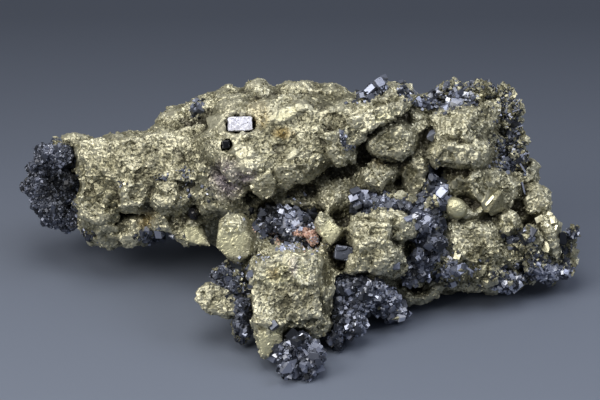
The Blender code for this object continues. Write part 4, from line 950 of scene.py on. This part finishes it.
def cluster(name, mark, kinds, spots, sizes, turns, tones, rng):
    """One mesh of many small crystals: a form for each spot, with its half sizes, turn and tone."""
    parts, values = [], []
    for kind, spot, size, turn, tone in zip(kinds, spots, sizes, turns, tones):
        corners, triangles = FORMS[kind][rng.integers(VARIANTS)]
        parts.append(((corners * size) @ turn.T + spot, triangles))
        values.append(np.full(len(corners), tone))
    mesh = mesh_from(name, *joined(parts))
    set_mark(mesh, mark, np.concatenate(values))
    return mesh


def spots_on(mesh, count, rng, wanted=None):
    """Random places on the surface and the outward direction there."""
    triangles = points_of(mesh)[triangles_of(mesh)]
    sides = np.cross(triangles[:, 1] - triangles[:, 0], triangles[:, 2] - triangles[:, 0])
    size = np.linalg.norm(sides, axis=1)
    weight = size if wanted is None else size * wanted(triangles.mean(axis=1), sides / (size[:, None] + 1e-9))
    chosen = rng.choice(len(triangles), count, p=weight / weight.sum())
    share = rng.random((count, 2))
    share = np.where(share.sum(axis=1, keepdims=True) > 1, 1 - share, share)
    first, second, third = (triangles[chosen, k] for k in range(3))
    spots = first + share[:, :1] * (second - first) + share[:, 1:] * (third - first)
    return spots, sides[chosen] / size[chosen, None]


def area_of(mesh):
    return sum(face.area for face in mesh.polygons) / MM**2


def in_the_open(spots, outward, surface):
    """Which spots aren't buried against the brassy mass."""
    free = np.ones(len(spots), bool)
    for k, (spot, way) in enumerate(zip(spots, outward)):
        near, facing, _index, distance = surface.find_nearest(Vector(spot), 1.2)
        if near is not None and np.dot(facing, way) < -0.2:
            free[k] = False
    return free


# Where the grey crystals are lighter, and where they are darker as painted shade in hollows and
# under overhangs, as seen: across, rise, half width, half height, roll.

LIGHT_GREY_AREAS = [
    (-73.8, 44.8, 3.4, 2.6, 10),
    (17.5, 31.0, 4.5, 2.6, 0),
    (24.0, 29.5, 4.5, 3.0, 20),
    (35.0, 22.0, 5.0, 5.0, 0),
    (28.0, 4.0, 5.0, 3.0, 0),
    (41.5, 32.0, 2.0, 3.0, 0),
    (-4.0, 23.0, 4.0, 2.4, 0),
    (49.0, 60.0, 6.0, 2.0, 0),
    (47.0, 9.5, 8.0, 4.5, 15),
    (74.5, 8.5, 4.0, 2.0, 0),
]
PAINTED_SHADE_GREY_AREAS = [
    (-74.0, 34.6, 2.8, 3.2, 0),
    (-69.5, 36.5, 2.4, 4.5, 0),
    (30.0, 33.0, 4.0, 1.6, 0),
    (36.0, 34.0, 4.0, 2.0, 0),
    (-10.0, 27.5, 4.0, 1.6, 0),
    (9.5, -4.0, 2.0, 6.0, 0),
]


def grey_tones(points, tones):
    """The tones of grey crystals, lighter and darker by where they show, the darker ones painted shade."""
    front = in_areas(points, LIGHT_GREY_AREAS, 0.6) * 0.35 - in_areas(points, PAINTED_SHADE_GREY_AREAS, 0.6) * 0.6
    return np.clip(tones + front, 0, 1)


# How each crust differs: the share that is brassy grains, the crystals' middle half size, how
# many stand on each square millimetre, and how light they are.

CRUSTS = {
    "grey_crystals_left_end": (0.0, 0.28, 3.0, 0.95),
    "grey_crystals_base": (0.55, 0.36, 1.8, 1.6),
    "grey_crystals_crest": (0.45, 0.36, 1.8, 1.1),
    "grey_crystals_peak_side": (0.65, 0.34, 1.8, 1.1),
    "grey_crystals_right_end": (0.5, 0.40, 1.6, 1.15),
    "grey_crystals_valley_right": (0.1, 0.50, 1.4, 0.75),
    "grey_crystals_valley_left": (0.05, 0.42, 1.6, 1.3),
    "grey_crystals_ridge": (0.25, 0.34, 1.8, 0.9),
    "grey_crystals_foot_left": (0.15, 0.34, 1.8, 0.9),
    "grey_crystals_foot_right": (0.05, 0.40, 1.6, 1.3),
    "grey_crystals_foot_front": (0.0, 0.42, 1.8, 1.05),
}


CRUST_CHIPS = [(2.2, 0.30), (1.1, 0.35), (4.5, 0.22), (8.0, 0.22)]


def grey_patch(name, surface, finish, brassy, seed):
    """A crust of small grey crystals over one patch, with brassy grains here and there."""
    brassy_share, middle_size, density, light = CRUSTS[name]
    rng = np.random.default_rng(seed)
    solid = frame["nodes"][name].data
    base = skinned(solid, GREY_GRAIN * 1.3, 1)
    points, outward = points_of(base), outward_of(base)
    out = sum(height * chips(points, size, seed + k) for k, (size, height) in enumerate(CRUST_CHIPS))
    set_points(base, points + outward * out[:, None])
    stone, _gap, _inside = stones(points, 1.2, seed)
    set_mark(base, "shade", 0.12 + 0.35 * stone / STONE_KINDS)
    spots, outward = spots_on(base, int(area_of(solid) * density), rng)
    free = in_the_open(spots, outward, surface)
    spots, outward = spots[free], outward[free]
    count = len(spots)
    half = np.exp(rng.normal(math.log(middle_size), 0.42, count)).clip(0.18, middle_size * 3.2)
    sizes = half[:, None] * rng.uniform(0.7, 1.3, (count, 3))
    kinds = rng.choice(["block_form", "cube_form", "wedge_form", "plate_form"], count, p=[0.08, 0.44, 0.26, 0.22])
    clump, _gap, _inside = stones(spots, 5.0, seed + 3)
    tones = rng.beta(1.2, 1.6, count) * light + 0.3 * (clump / STONE_KINDS - 0.5)
    tones = grey_tones(spots, tones)
    turns = random_turns(rng, count)
    place(name + "_base", base, finish, [])
    patch, _gap, _inside = stones(spots, 3.5, seed + 4)
    gold = patch / STONE_KINDS < brassy_share
    grey = ~gold
    crystals = cluster(name, "shade", kinds[grey], spots[grey], sizes[grey], turns[grey], tones[grey], rng)
    place(name + "_crust", crystals, finish, [name])
    if gold.any():
        forms = ["grain_form"] * gold.sum()
        bright = rng.uniform(0.5, 1.0, gold.sum())
        grains = cluster(name, "grain_tone", forms, spots[gold], sizes[gold] * 1.5, turns[gold], bright, rng)
        place(name + "_gold", grains, brassy, [])


# Loose grey crystals on the brassy mass as seen: across, rise, half width, half height, roll,
# then how many and their half size.

GREY_SPRINKLES = [
    ((-68, 32, 1.5, 10, 0), 90, 0.35),
    ((-43.5, 18.6, 5, 1.8, 8), 110, 0.5),
    ((-63.6, 19.5, 3, 1.5, -20), 40, 0.4),
    ((21.3, 62.7, 5, 2.4, 40), 60, 0.5),
    ((31.5, 62.7, 1.5, 3, 40), 50, 0.4),
    ((-31.2, 57.3, 1.5, 2.6, -20), 50, 0.4),
    ((12.9, 48.3, 0.7, 2.8, 8), 60, 0.3),
    ((14.6, 45.8, 1.5, 0.6, 0), 25, 0.3),
    ((41.1, 62.5, 5, 3, 20), 150, 0.45),
    ((46.5, 61, 6, 3.5, 0), 160, 0.5),
    ((48, 65, 6, 1.6, 0), 90, 0.4),
    ((40, 59, 4, 1.6, -10), 60, 0.45),
    ((37, 58.4, 4.5, 0.8, -20), 50, 0.4),
    ((61.5, 61, 3, 4, 0), 60, 0.36),
    ((62, 56, 3.0, 4, 0), 70, 0.36),
    ((64, 51, 2, 4, 0), 80, 0.4),
    ((61, 46, 3.5, 4, 0), 80, 0.36),
    ((63, 40.5, 4, 2.4, 0), 90, 0.45),
    ((40.5, 37.5, 3, 3.4, 0), 30, 0.45),
    ((42, 32, 3, 4, 0), 50, 0.45),
    ((48.6, 8.4, 6, 3, 10), 120, 0.5),
    ((42, 11.4, 5, 5, 0), 120, 0.5),
    ((70.5, 9.6, 7, 2.4, 0), 130, 0.45),
    ((66.5, 18, 4, 3, 0), 60, 0.5),
    ((76, 8.5, 4, 3, 0), 80, 0.45),
    ((-20.4, 8, 5, 4, 0), 110, 0.45),
    ((-18.6, 1.5, 3, 3, 0), 60, 0.45),
    ((-41.5, 36.3, 2, 1.2, 0), 26, 0.24),
    ((-34.5, 38.7, 2.4, 1.8, 0), 26, 0.24),
    ((-33.5, 35, 1.2, 4, 0), 30, 0.26),
    ((-53.5, 35, 1.2, 1.5, 0), 16, 0.24),
    ((-27, 33, 1.5, 5, 0), 20, 0.24),
    ((-5, 25, 8, 4, 0), 110, 0.5),
    ((-11.0, 22.0, 2.0, 3.0, 0), 60, 0.55),
    ((-2.0, 17.8, 4.0, 1.4, 0), 80, 0.5),
]


# Pale lilac plates in the left valley, then pink grains beside the pink crust, in the same way.

LILAC_SPRINKLES = [
    ((-3.6, 23.4, 4.6, 2.8, 10), 130, 0.42),
    ((-3.3, 16.5, 3.4, 2.2, 0), 110, 0.38),
    ((-11.5, 12.5, 2.0, 1.0, 0), 20, 0.35),
    ((4.0, 16.5, 2.6, 2.4, 0), 60, 0.32),
    ((-7.0, 19.0, 3.0, 1.6, -10), 50, 0.34),
    ((1.0, 24.5, 2.0, 1.4, 0), 30, 0.36),
]
PINK_SPRINKLES = [
    ((-10.2, 20.4, 3.2, 1.3, -10), 110, 0.36),
    ((-6.6, 17.8, 1.6, 1.2, 0), 40, 0.32),
    ((0.2, 21.4, 1.6, 1.4, 0), 70, 0.34),
    ((3.2, 18.8, 2.6, 2.8, 0), 120, 0.36),
]


# Brassy grains among the grey crystals, in the same way.

GOLD_SPRINKLES = [
    ((-73.5, 47.4, 4.0, 0.9, -8), 120, 0.45),
    ((-1.0, 17.6, 3.4, 2.0, 0), 60, 0.5),
    ((-10.8, 16.2, 2.4, 3.2, 0), 70, 0.5),
    ((47.0, 62.0, 7.0, 3.0, 0), 120, 0.5),
    ((56.0, 61.0, 4.0, 3.0, 0), 90, 0.5),
    ((63.0, 13.0, 8.0, 3.6, 10), 160, 0.55),
    ((74.0, 13.0, 4.0, 3.0, 0), 90, 0.5),
    ((53.0, 10.2, 7.0, 3.4, 15), 200, 0.9),
    ((57.5, 16.0, 5.0, 3.0, 0), 90, 0.55),
    ((38.6, 31.0, 2.0, 3.0, 0), 40, 0.5),
    ((21.5, 27.5, 4.0, 1.4, 0), 60, 0.5),
    ((61.0, 52.0, 3.0, 7.0, 0), 200, 0.45),
    ((60.0, 63.0, 3.0, 2.0, 0), 90, 0.45),
    ((52.0, 63.0, 4.0, 2.0, 0), 60, 0.45),
]


def strewn(surface, areas, rng):
    """Places strewn over the surface inside areas as seen, and half sizes for what stands there."""
    spots, sizes = [], []
    for (x, y, width, height, roll), count, half in areas:
        turn = math.radians(roll)
        for along, over in rng.normal(0, 0.55, (count, 2)):
            dx, dy = along * width, over * height
            across = x + dx * math.cos(turn) - dy * math.sin(turn)
            rise = y + dx * math.sin(turn) + dy * math.cos(turn)
            depth, _outward = depth_seen(surface, across, rise)
            if depth is not None:
                spots.append(seen_through(across, rise, depth))
                sizes.append(half * math.exp(rng.normal(0, 0.35)) * rng.uniform(0.7, 1.3, 3))
    return np.array(spots), sizes


def grey_sprinkles(surface, finish):
    """Small grey crystals strewn over parts of the brassy mass."""
    rng = np.random.default_rng(21)
    spots, sizes = strewn(surface, GREY_SPRINKLES, rng)
    count = len(spots)
    kinds = rng.choice(["cube_form", "wedge_form", "plate_form"], count, p=[0.6, 0.2, 0.2])
    tones = grey_tones(spots, rng.beta(1.0, 1.3, count))
    turns = random_turns(rng, count)
    place("grey_sprinkles", cluster("grey", "shade", kinds, spots, sizes, turns, tones, rng), finish, [])
    spots, sizes = strewn(surface, LILAC_SPRINKLES, rng)
    count = len(spots)
    tones = rng.uniform(0.75, 1.0, count)
    turns = random_turns(rng, count)
    kinds = ["plate_form"] * count
    place("lilac_plates", cluster("lilac", "shade", kinds, spots, sizes, turns, tones, rng), finish, [])


def gold_sprinkles(surface, finish):
    """Brassy grains strewn among the grey crystals."""
    rng = np.random.default_rng(53)
    spots, sizes = strewn(surface, GOLD_SPRINKLES, rng)
    count = len(spots)
    tones = rng.uniform(0.5, 1.0, count)
    turns = random_turns(rng, count)
    kinds = ["grain_form"] * count
    place("gold_sprinkles", cluster("gold", "grain_tone", kinds, spots, sizes, turns, tones, rng), finish,
          [])


def pink_sprinkles(surface, finish):
    """Pink grains strewn beside the pink crust."""
    rng = np.random.default_rng(52)
    spots, sizes = strewn(surface, PINK_SPRINKLES, rng)
    count = len(spots)
    turns = random_turns(rng, count)
    kinds = ["grain_form"] * count
    place("pink_sprinkles", cluster("pink", "shade", kinds, spots, sizes, turns, [0.5] * count, rng), finish,
          [])


# Larger grey crystals as seen: form, across, rise, half width, half height, half depth, roll,
# lean to the right and lean back in degrees, and tone.

LARGE_GREY_CRYSTALS = [
    ("cube_form", 21.0, 63.0, 1.8, 1.0, 1.2, 40, 10, -20, 0.75),
    ("block_form", 23.7, 65.0, 1.2, 1.3, 1.2, 30, 20, -10, 0.7),
    ("cube_form", 18.9, 61.4, 1.3, 0.9, 1.0, 10, 0, -15, 0.65),
    ("wedge_form", 22.4, 61.0, 1.3, 1.0, 1.0, -20, 10, -25, 0.6),
    ("wedge_form", 40.0, 49.4, 1.6, 1.9, 1.4, -20, -10, -10, 0.85),
    ("cube_form", 40.2, 38.4, 1.3, 1.4, 1.2, 20, 0, 20, 0.35),
    ("cube_form", 41.4, 34.0, 1.1, 1.2, 1.0, 30, 0, 25, 0.5),
    ("block_form", 42.7, 31.3, 1.0, 1.5, 1.0, 15, -15, 10, 0.6),
    ("cube_form", 16.0, 30.6, 1.5, 1.1, 1.2, 25, -10, -15, 0.7),
    ("block_form", 21.4, 31.2, 1.4, 1.4, 1.2, 15, 20, -10, 0.6),
    ("cube_form", 25.8, 31.6, 1.3, 1.0, 1.1, -25, 10, -10, 0.6),
    ("plate_form", 34.7, 22.0, 1.2, 1.2, 2.0, 0, 0, 0, 0.7),
    ("plate_form", 38.2, 24.3, 1.1, 1.1, 2.0, 15, 10, -20, 0.7),
    ("plate_form", 40.2, 17.9, 1.2, 1.2, 2.0, 0, 0, 0, 0.75),
    ("cube_form", 34.4, 26.7, 1.2, 1.4, 1.0, 40, 0, 20, 0.55),
    ("cube_form", 32.4, 24.0, 1.4, 0.9, 1.0, 20, 30, -30, 0.75),
    ("cube_form", 35.7, 14.4, 1.1, 1.4, 1.0, -15, 10, -10, 0.7),
    ("block_form", 47.0, 59.2, 1.7, 1.0, 1.2, -5, 0, -15, 0.65),
    ("cube_form", 51.3, 59.3, 1.3, 0.8, 1.0, 5, 10, -10, 0.6),
    ("wedge_form", 48.2, 63.9, 1.2, 0.9, 1.0, -20, 10, -20, 0.6),
    ("cube_form", 41.4, 62.9, 1.0, 0.9, 1.0, 30, 10, -10, 0.65),
    ("block_form", 67.5, 18.8, 1.3, 1.9, 1.4, 20, 10, 10, 0.1),
    ("cube_form", 69.8, 20.4, 1.0, 1.5, 1.0, -30, -20, 0, 0.3),
    ("cube_form", 78.4, 18.6, 1.3, 2.0, 1.3, 10, 20, 10, 0.05),
    ("block_form", 28.8, 10.2, 1.1, 1.0, 1.0, 0, 0, -10, 0.7),
    ("wedge_form", 27.6, -2.6, 1.2, 0.9, 1.0, 20, -10, 0, 0.6),
    ("cube_form", -1.0, 23.0, 1.2, 1.0, 1.0, 30, 0, -20, 0.7),
    ("wedge_form", -5.5, 21.5, 1.3, 1.5, 1.0, -30, 10, -20, 0.6),
    ("wedge_form", -4.2, -20.6, 1.8, 1.4, 1.2, 20, -10, -20, 0.75),
    ("wedge_form", -1.4, -22.2, 1.4, 1.1, 1.1, 60, 10, -10, 0.65),
    ("wedge_form", 1.8, -20.4, 1.5, 1.5, 1.2, 10, 10, -20, 0.65),
    ("wedge_form", 4.2, -15.6, 1.6, 2.8, 1.4, -35, 20, -20, 0.6),
    ("wedge_form", 1.6, -17.4, 1.3, 1.6, 1.2, -20, -10, -20, 0.5),
    ("cube_form", -8.0, -7.6, 1.3, 1.3, 0.9, 35, 0, -25, 0.45),
    ("wedge_form", 9.2, -12.2, 1.0, 1.4, 0.8, 10, -10, -10, 0.7),
]


# Thin grey blades at the right-hand edge as seen: where each starts and ends, and half its width.

BLADES = [
    ((65.0, 48.0), (68.4, 47.0), 0.22),
    ((65.4, 46.4), (68.0, 48.6), 0.18),
    ((66.0, 43.4), (69.0, 44.2), 0.22),
    ((65.6, 42.0), (67.8, 44.4), 0.16),
    ((66.0, 41.0), (68.0, 37.8), 0.26),
    ((66.2, 38.4), (67.8, 34.4), 0.30),
    ((66.6, 35.4), (67.6, 31.4), 0.24),
    ((64.4, 51.6), (67.0, 52.4), 0.18),
    ((63.8, 56.4), (66.4, 57.4), 0.18),
    ((64.6, 58.6), (66.2, 60.4), 0.16),
    ((43.0, 14.0), (47.0, 11.6), 0.30),
    ((44.0, 10.8), (48.6, 12.4), 0.26),
    ((46.0, 7.6), (49.8, 9.8), 0.26),
    ((48.8, 10.4), (52.4, 8.2), 0.30),
    ((66.4, 8.4), (69.6, 11.2), 0.26),
    ((69.0, 9.8), (72.6, 8.0), 0.26),
    ((71.4, 11.0), (73.4, 7.6), 0.26),
    ((74.2, 10.2), (76.6, 6.6), 0.34),
    ((75.0, 7.4), (78.2, 8.8), 0.28),
    ((0.4, -14.2), (4.8, -18.6), 0.34),
    ((2.4, -13.4), (5.8, -15.6), 0.30),
    ((-2.0, -15.0), (0.6, -18.6), 0.26),
]
BLADE_DEPTH = 0.6


def blades(surface, finish):
    """Thin blades that stand out over the surface between two places as seen."""
    parts = []
    for (x1, y1), (x2, y2), half in BLADES:
        depth, _outward = depth_seen(surface, x1, y1)
        if depth is None:
            continue
        side = np.array((y1 - y2, x2 - x1)) / math.hypot(x2 - x1, y2 - y1) * half
        corners = []
        for x, y in ((x1, y1), ((x1 + 3 * x2) / 4, (y1 + 3 * y2) / 4)):
            corners += [(x + side[0], y + side[1], depth - BLADE_DEPTH), (x - side[0], y - side[1], depth)]
            corners += [(x + side[0], y + side[1], depth), (x - side[0], y - side[1], depth - BLADE_DEPTH)]
        corners.append((x2, y2, depth - BLADE_DEPTH / 2))
        parts.append(convex([seen_through(*corner) for corner in corners]))
    mesh = mesh_from("grey_blades", *joined(parts))
    set_mark(mesh, "shade", np.full(len(mesh.vertices), 0.8))
    place("grey_blades", mesh, finish, [])


# Brassy crystals so fresh that they shine, coloured near white so that they also stand in for painted glints, in
# the same way as the larger grey crystals.

SHINING_CRYSTALS = [
    ("cube_form", 72.0, 24.3, 1.4, 1.0, 1.2, 25, -10, -10, 1.0),
    ("cube_form", 75.0, 25.6, 0.9, 0.8, 1.0, -15, -20, -10, 1.0),
    ("cube_form", 72.6, 19.6, 1.0, 0.8, 1.0, 35, -10, -20, 1.0),
    ("cube_form", 76.6, 14.0, 0.9, 1.1, 1.0, -35, -10, -10, 1.0),
    ("cube_form", 75.8, 11.2, 0.8, 0.7, 0.8, 10, -10, -20, 1.0),
    ("cube_form", 73.6, 22.4, 1.0, 0.8, 0.9, -30, 10, -20, 1.0),
    ("cube_form", 75.9, 24.0, 0.8, 1.3, 0.9, 10, -15, -10, 1.0),
    ("cube_form", 76.8, 21.8, 0.7, 0.9, 0.8, -20, -25, 0, 1.0),
    ("wedge_form", 71.0, 21.6, 0.9, 0.8, 0.8, 40, 10, -10, 1.0),
    ("cube_form", 74.0, 15.6, 1.2, 1.9, 1.3, -18, -12, -12, 1.0),
    ("cube_form", 73.2, 12.4, 0.9, 1.0, 0.9, 20, -12, 12, 1.0),
    ("cube_form", 47.2, 13.2, 1.1, 1.5, 1.2, -15, -8, -14, 1.0),
    ("cube_form", -14.3, 33.9, 0.6, 0.6, 0.6, 15, 0, -10, 1.0),
    ("cube_form", -52.6, 34.8, 0.5, 0.5, 0.5, 30, 0, -20, 1.0),
    ("cube_form", 61.0, 65.4, 0.5, 0.5, 0.5, 30, 0, -20, 1.0),
    ("wedge_form", 64.0, 11.6, 0.7, 0.5, 0.6, 10, 20, -10, 1.0),
    ("wedge_form", 60.4, 22.8, 0.6, 0.9, 0.6, -20, 10, -20, 1.0),
    ("cube_form", 57.0, 29.8, 0.5, 2.2, 0.5, -38, -25, -10, 1.0),
]


# How deep the middle of a single crystal lies, as a share of its half depth.
SUNK_SHARE = 0.1


def turned_to_viewer(roll, lean_right, lean_back):
    """A turn that sets a form's axes to the right, up and towards the viewer, then leans it."""
    lean = Euler((math.radians(lean_back), math.radians(lean_right), math.radians(roll)))
    return np.column_stack((RIGHT, UP_IN_VIEW, -AWAY)) @ np.array(lean.to_matrix())


def single_crystals(name, surface, table, mark, finish):
    """The crystals of a table, each partly sunk in the surface where it shows."""
    rng = np.random.default_rng(31)
    kinds, spots, sizes, turns, tones = [], [], [], [], []
    for kind, across, rise, wide, high, deep, roll, lean_right, lean_back, tone in table:
        depth, _outward = depth_seen(surface, across, rise)
        if depth is None:
            continue
        kinds.append(kind)
        spots.append(seen_through(across, rise, depth + SUNK_SHARE * deep))
        sizes.append((wide, high, deep))
        turns.append(turned_to_viewer(roll, lean_right, lean_back))
        tones.append(tone)
    place(name, cluster(name, mark, kinds, spots, sizes, turns, tones, rng), finish, [])


def brassy_grains(mass, finish):
    """Loose-looking grains that the mass is made of, standing out of its surface."""
    rng = np.random.default_rng(41)

    def wanted(points, outward):
        smooth = in_areas(points, SMOOTH_AREAS) * (facing_viewer(points, outward) > 0)
        stone, _gap, _inside = stones(points, 9, 5)
        return (1 - smooth) * (0.15 + (stone / STONE_KINDS) ** 2) * (points[:, 2] > 1)

    count = 6000
    spots, outward = spots_on(mass, count, rng, wanted)
    half = np.exp(rng.normal(math.log(0.38), 0.3, count)).clip(0.2, 0.9)
    sizes = half[:, None] * rng.uniform(0.7, 1.3, (count, 3))
    tones = rng.random(count)
    kinds = ["grain_form"] * count
    mesh = cluster("chalcopyrite_grains", "grain_tone", kinds, spots, sizes, random_turns(rng, count), tones, rng)
    place("chalcopyrite_grains", mesh, finish, [])


# The single crystals and the pink crust


def galena_finish():
    """Galena: lead sulphide, a bright silver metal where it breaks along its cube faces, coloured near white so
    that it also paints the lamps' reflection on its face.
    """
    made, tree, shader = new_material("galena")
    where = add(tree, "ShaderNodeTexCoord").outputs["Object"]
    stain = add(tree, "ShaderNodeTexNoise", {"Scale": grain_scale(0.8), "Detail": 3.0}, {"Vector": where})
    ramp = add(tree, "ShaderNodeValToRGB", links={"Fac": stain.outputs["Fac"]})
    # near-white colour: partly galena's silver, partly a painted reflection of the lamps
    set_ramp(ramp, [(0.30, "#54545e"), (0.37, "#e6e7f6"), (1.0, "#fbfbff")])
    tree.links.new(ramp.outputs["Color"], shader.inputs["Base Color"])
    shader.inputs["Metallic"].default_value = 0.35
    shader.inputs["Roughness"].default_value = 0.4
    return made


def sphalerite_finish():
    """Sphalerite rich in iron: black, with the gloss of resin."""
    made, tree, shader = new_material("black_sphalerite")
    where = add(tree, "ShaderNodeTexCoord").outputs["Object"]
    stain = add(tree, "ShaderNodeTexNoise", {"Scale": grain_scale(2), "Detail": 2.0}, {"Vector": where})
    ramp = add(tree, "ShaderNodeValToRGB", links={"Fac": stain.outputs["Fac"]})
    set_ramp(ramp, [(0.3, "#08080a"), (0.8, "#1b1b20")])
    tree.links.new(ramp.outputs["Color"], shader.inputs["Base Color"])
    shader.inputs["Roughness"].default_value = 0.12
    return made


def pink_finish():
    """Rhodochrosite: a manganese carbonate, dull salmon pink in small curved grains."""
    made, tree, shader = new_material("pink_carbonate")
    where = add(tree, "ShaderNodeTexCoord").outputs["Object"]
    tint = add(tree, "ShaderNodeTexNoise", {"Scale": grain_scale(1.2), "Detail": 3.0}, {"Vector": where})
    ramp = add(tree, "ShaderNodeValToRGB", links={"Fac": tint.outputs["Fac"]})
    set_ramp(ramp, [(0.35, "#ab8d80"), (0.5, "#d3ac9b"), (0.7, "#e4d2c9")])
    tree.links.new(ramp.outputs["Color"], shader.inputs["Base Color"])
    shader.inputs["Roughness"].default_value = 0.55
    return made


def pitted_crystal(name, node, finish, chip, depth):
    """A single crystal whose faces are chipped and pitted, with painted light that makes them lighter where they
    face up.
    """
    mesh = skinned(frame["nodes"][node].data, 0.22, 2)
    points, outward = points_of(mesh), outward_of(mesh)
    out = depth * chips(points, chip, 60) / chip
    set_points(mesh, points + outward * out[:, None])
    mesh = thinned(mesh, 6000)
    # painted light: the shade mark is lighter on faces that face up, as if lit from above
    set_mark(mesh, "shade", np.clip(0.02 + 0.7 * outward_of(mesh)[:, 2], 0, 1))
    place(name, mesh, finish, [node])


def black_bead(name, node, finish, roundness):
    """A small black crystal with rounded edges."""
    mesh = skinned(frame["nodes"][node].data, 0.2, roundness)
    place(name, thinned(mesh, 3000), finish, [node])


def pink_crust(finish):
    """Small pink grains packed over the carbonate's patch and strewn beside it."""
    rng = np.random.default_rng(51)
    node = "pink_carbonate_crust"
    solid = frame["nodes"][node].data
    base = skinned(solid, 0.3, 1)
    points, outward = points_of(base), outward_of(base)
    out = 0.3 * chips(points, 1.2, 61)
    set_points(base, points + outward * out[:, None])
    place(node + "_base", base, finish, [])
    count = 700
    spots, _outward = spots_on(solid, count, rng)
    sizes = rng.uniform(0.15, 0.45, (count, 1)) * rng.uniform(0.7, 1.3, (count, 3))
    tones = rng.random(count)
    kinds = ["grain_form"] * count
    crystals = cluster(node, "shade", kinds, spots, sizes, random_turns(rng, count), tones, rng)
    place(node + "_grains", crystals, finish, [node])


# The room


# Where the table top is lightest and where it is darkest, back from the specimen's middle: painted shade for the
# lamps' light falling off towards the back.
FLOOR_FRONT = -90.0
FLOOR_BACK = 190.0


def make_floor():
    """A pale matt table top, painted darker towards the back as painted shade for the lamps' falloff."""
    mesh = mesh_from("table_top", [(-3000, -3000, 0), (3000, -3000, 0), (3000, 3000, 0), (-3000, 3000, 0)],
                     [(0, 1, 2), (0, 2, 3)])
    made, tree, shader = new_material("pale_card")
    where = add(tree, "ShaderNodeTexCoord").outputs["Object"]
    away = add(tree, "ShaderNodeSeparateXYZ", links={"Vector": where})
    shade = add(
        tree, "ShaderNodeMapRange", {"From Min": FLOOR_FRONT * MM, "From Max": FLOOR_BACK * MM},
        {"Value": away.outputs["Y"]},
    )
    ramp = add(tree, "ShaderNodeValToRGB", links={"Fac": shade.outputs["Result"]})
    # painted shade: lighter at the front, darker towards the back
    set_ramp(ramp, [(0.0, "#6a7281"), (0.45, "#5f6674"), (1.0, "#3f4551")])
    tree.links.new(ramp.outputs["Color"], shader.inputs["Base Color"])
    shader.inputs["Roughness"].default_value = 0.6
    mesh.materials.append(made)
    floor = bpy.data.objects.new("table_top", mesh)
    bpy.context.scene.collection.objects.link(floor)


def softbox(name, spot, target, width, height, watts, colour):
    """A large soft lamp that faces a point."""
    data = bpy.data.lights.new(name, "AREA")
    data.shape = "RECTANGLE"
    data.size = width * MM
    data.size_y = height * MM
    data.energy = watts
    data.color = linear(colour)[:3]
    lamp = bpy.data.objects.new(name, data)
    bpy.context.scene.collection.objects.link(lamp)
    lamp.location = Vector(spot) * MM
    lamp.rotation_mode = "QUATERNION"
    lamp.rotation_quaternion = (Vector(target) - Vector(spot)).to_track_quat("-Z", "Y")


def make_room():
    """The floor, the lamps, the dim room round them and the camera."""
    make_floor()
    softbox("left_softbox", (-380, -260, 400), (0, -30, 20), 320, 320, 2.3, "#fffaf2")
    softbox("right_softbox", (400, -60, 420), (0, -30, 20), 260, 260, 1.1, "#f4f6ff")
    softbox("top_softbox", (-40, -60, 560), (0, -40, 20), 420, 320, 2.0, "#fffdf8")
    world = bpy.data.worlds.new("dim_room")
    world.use_nodes = True
    world.node_tree.nodes["Background"].inputs["Color"].default_value = linear("#b0b6c3")
    world.node_tree.nodes["Background"].inputs["Strength"].default_value = 0.34
    bpy.context.scene.world = world
    data = bpy.data.cameras.new("long_lens")
    data.sensor_width = SENSOR
    data.lens = SENSOR * VIEW_DISTANCE / VIEW_WIDTH
    camera = bpy.data.objects.new("long_lens", data)
    bpy.context.scene.collection.objects.link(camera)
    camera.location = Vector(EYE) * MM
    camera.rotation_mode = "QUATERNION"
    camera.rotation_quaternion = Vector(AWAY).to_track_quat("-Z", "Y")
    bpy.context.scene.camera = camera
    bpy.context.scene.view_settings.view_transform = "Standard"


def seen_surface(names):
    """The pieces placed so far, as one surface."""
    meshes = [bpy.data.objects[name].data for name in names]
    return surface_of(mesh_from("seen", *joined([(points_of(m), triangles_of(m)) for m in meshes])))


def main():
    brassy = brassy_finish()
    mass = brassy_mesh()
    surface = surface_of(mass)
    place("chalcopyrite", mass, brassy, ["chalcopyrite_mass"])
    brassy_grains(mass, brassy)
    grey = grey_finish()
    for seed, name in enumerate(GREY_PATCHES):
        grey_patch(name, surface, grey, brassy, seed + 100)
    galena, black, pink = galena_finish(), sphalerite_finish(), pink_finish()
    pink_crust(pink)
    skins = [name + "_base" for name in GREY_PATCHES + ["pink_carbonate_crust"]]
    surface = seen_surface(["chalcopyrite"] + skins)
    grey_sprinkles(surface, grey)
    gold_sprinkles(surface, brassy)
    single_crystals("large_grey_crystals", surface, LARGE_GREY_CRYSTALS, "shade", grey)
    blades(surface, grey)
    shining = shining_finish()
    single_crystals("shining_crystals", surface, SHINING_CRYSTALS, "shade", shining)
    pitted_crystal("galena", "galena_crystal", galena, 1.0, 0.25)
    pitted_crystal("grey_block", "grey_block_crystal", grey, 2.5, 0.3)
    black_bead("black_crystal_on_dome", "black_crystal_dome", black, 1)
    black_bead("black_crystal_on_arm", "black_crystal_arm", black, 8)
    pink_sprinkles(surface, pink)
    make_room()


main()
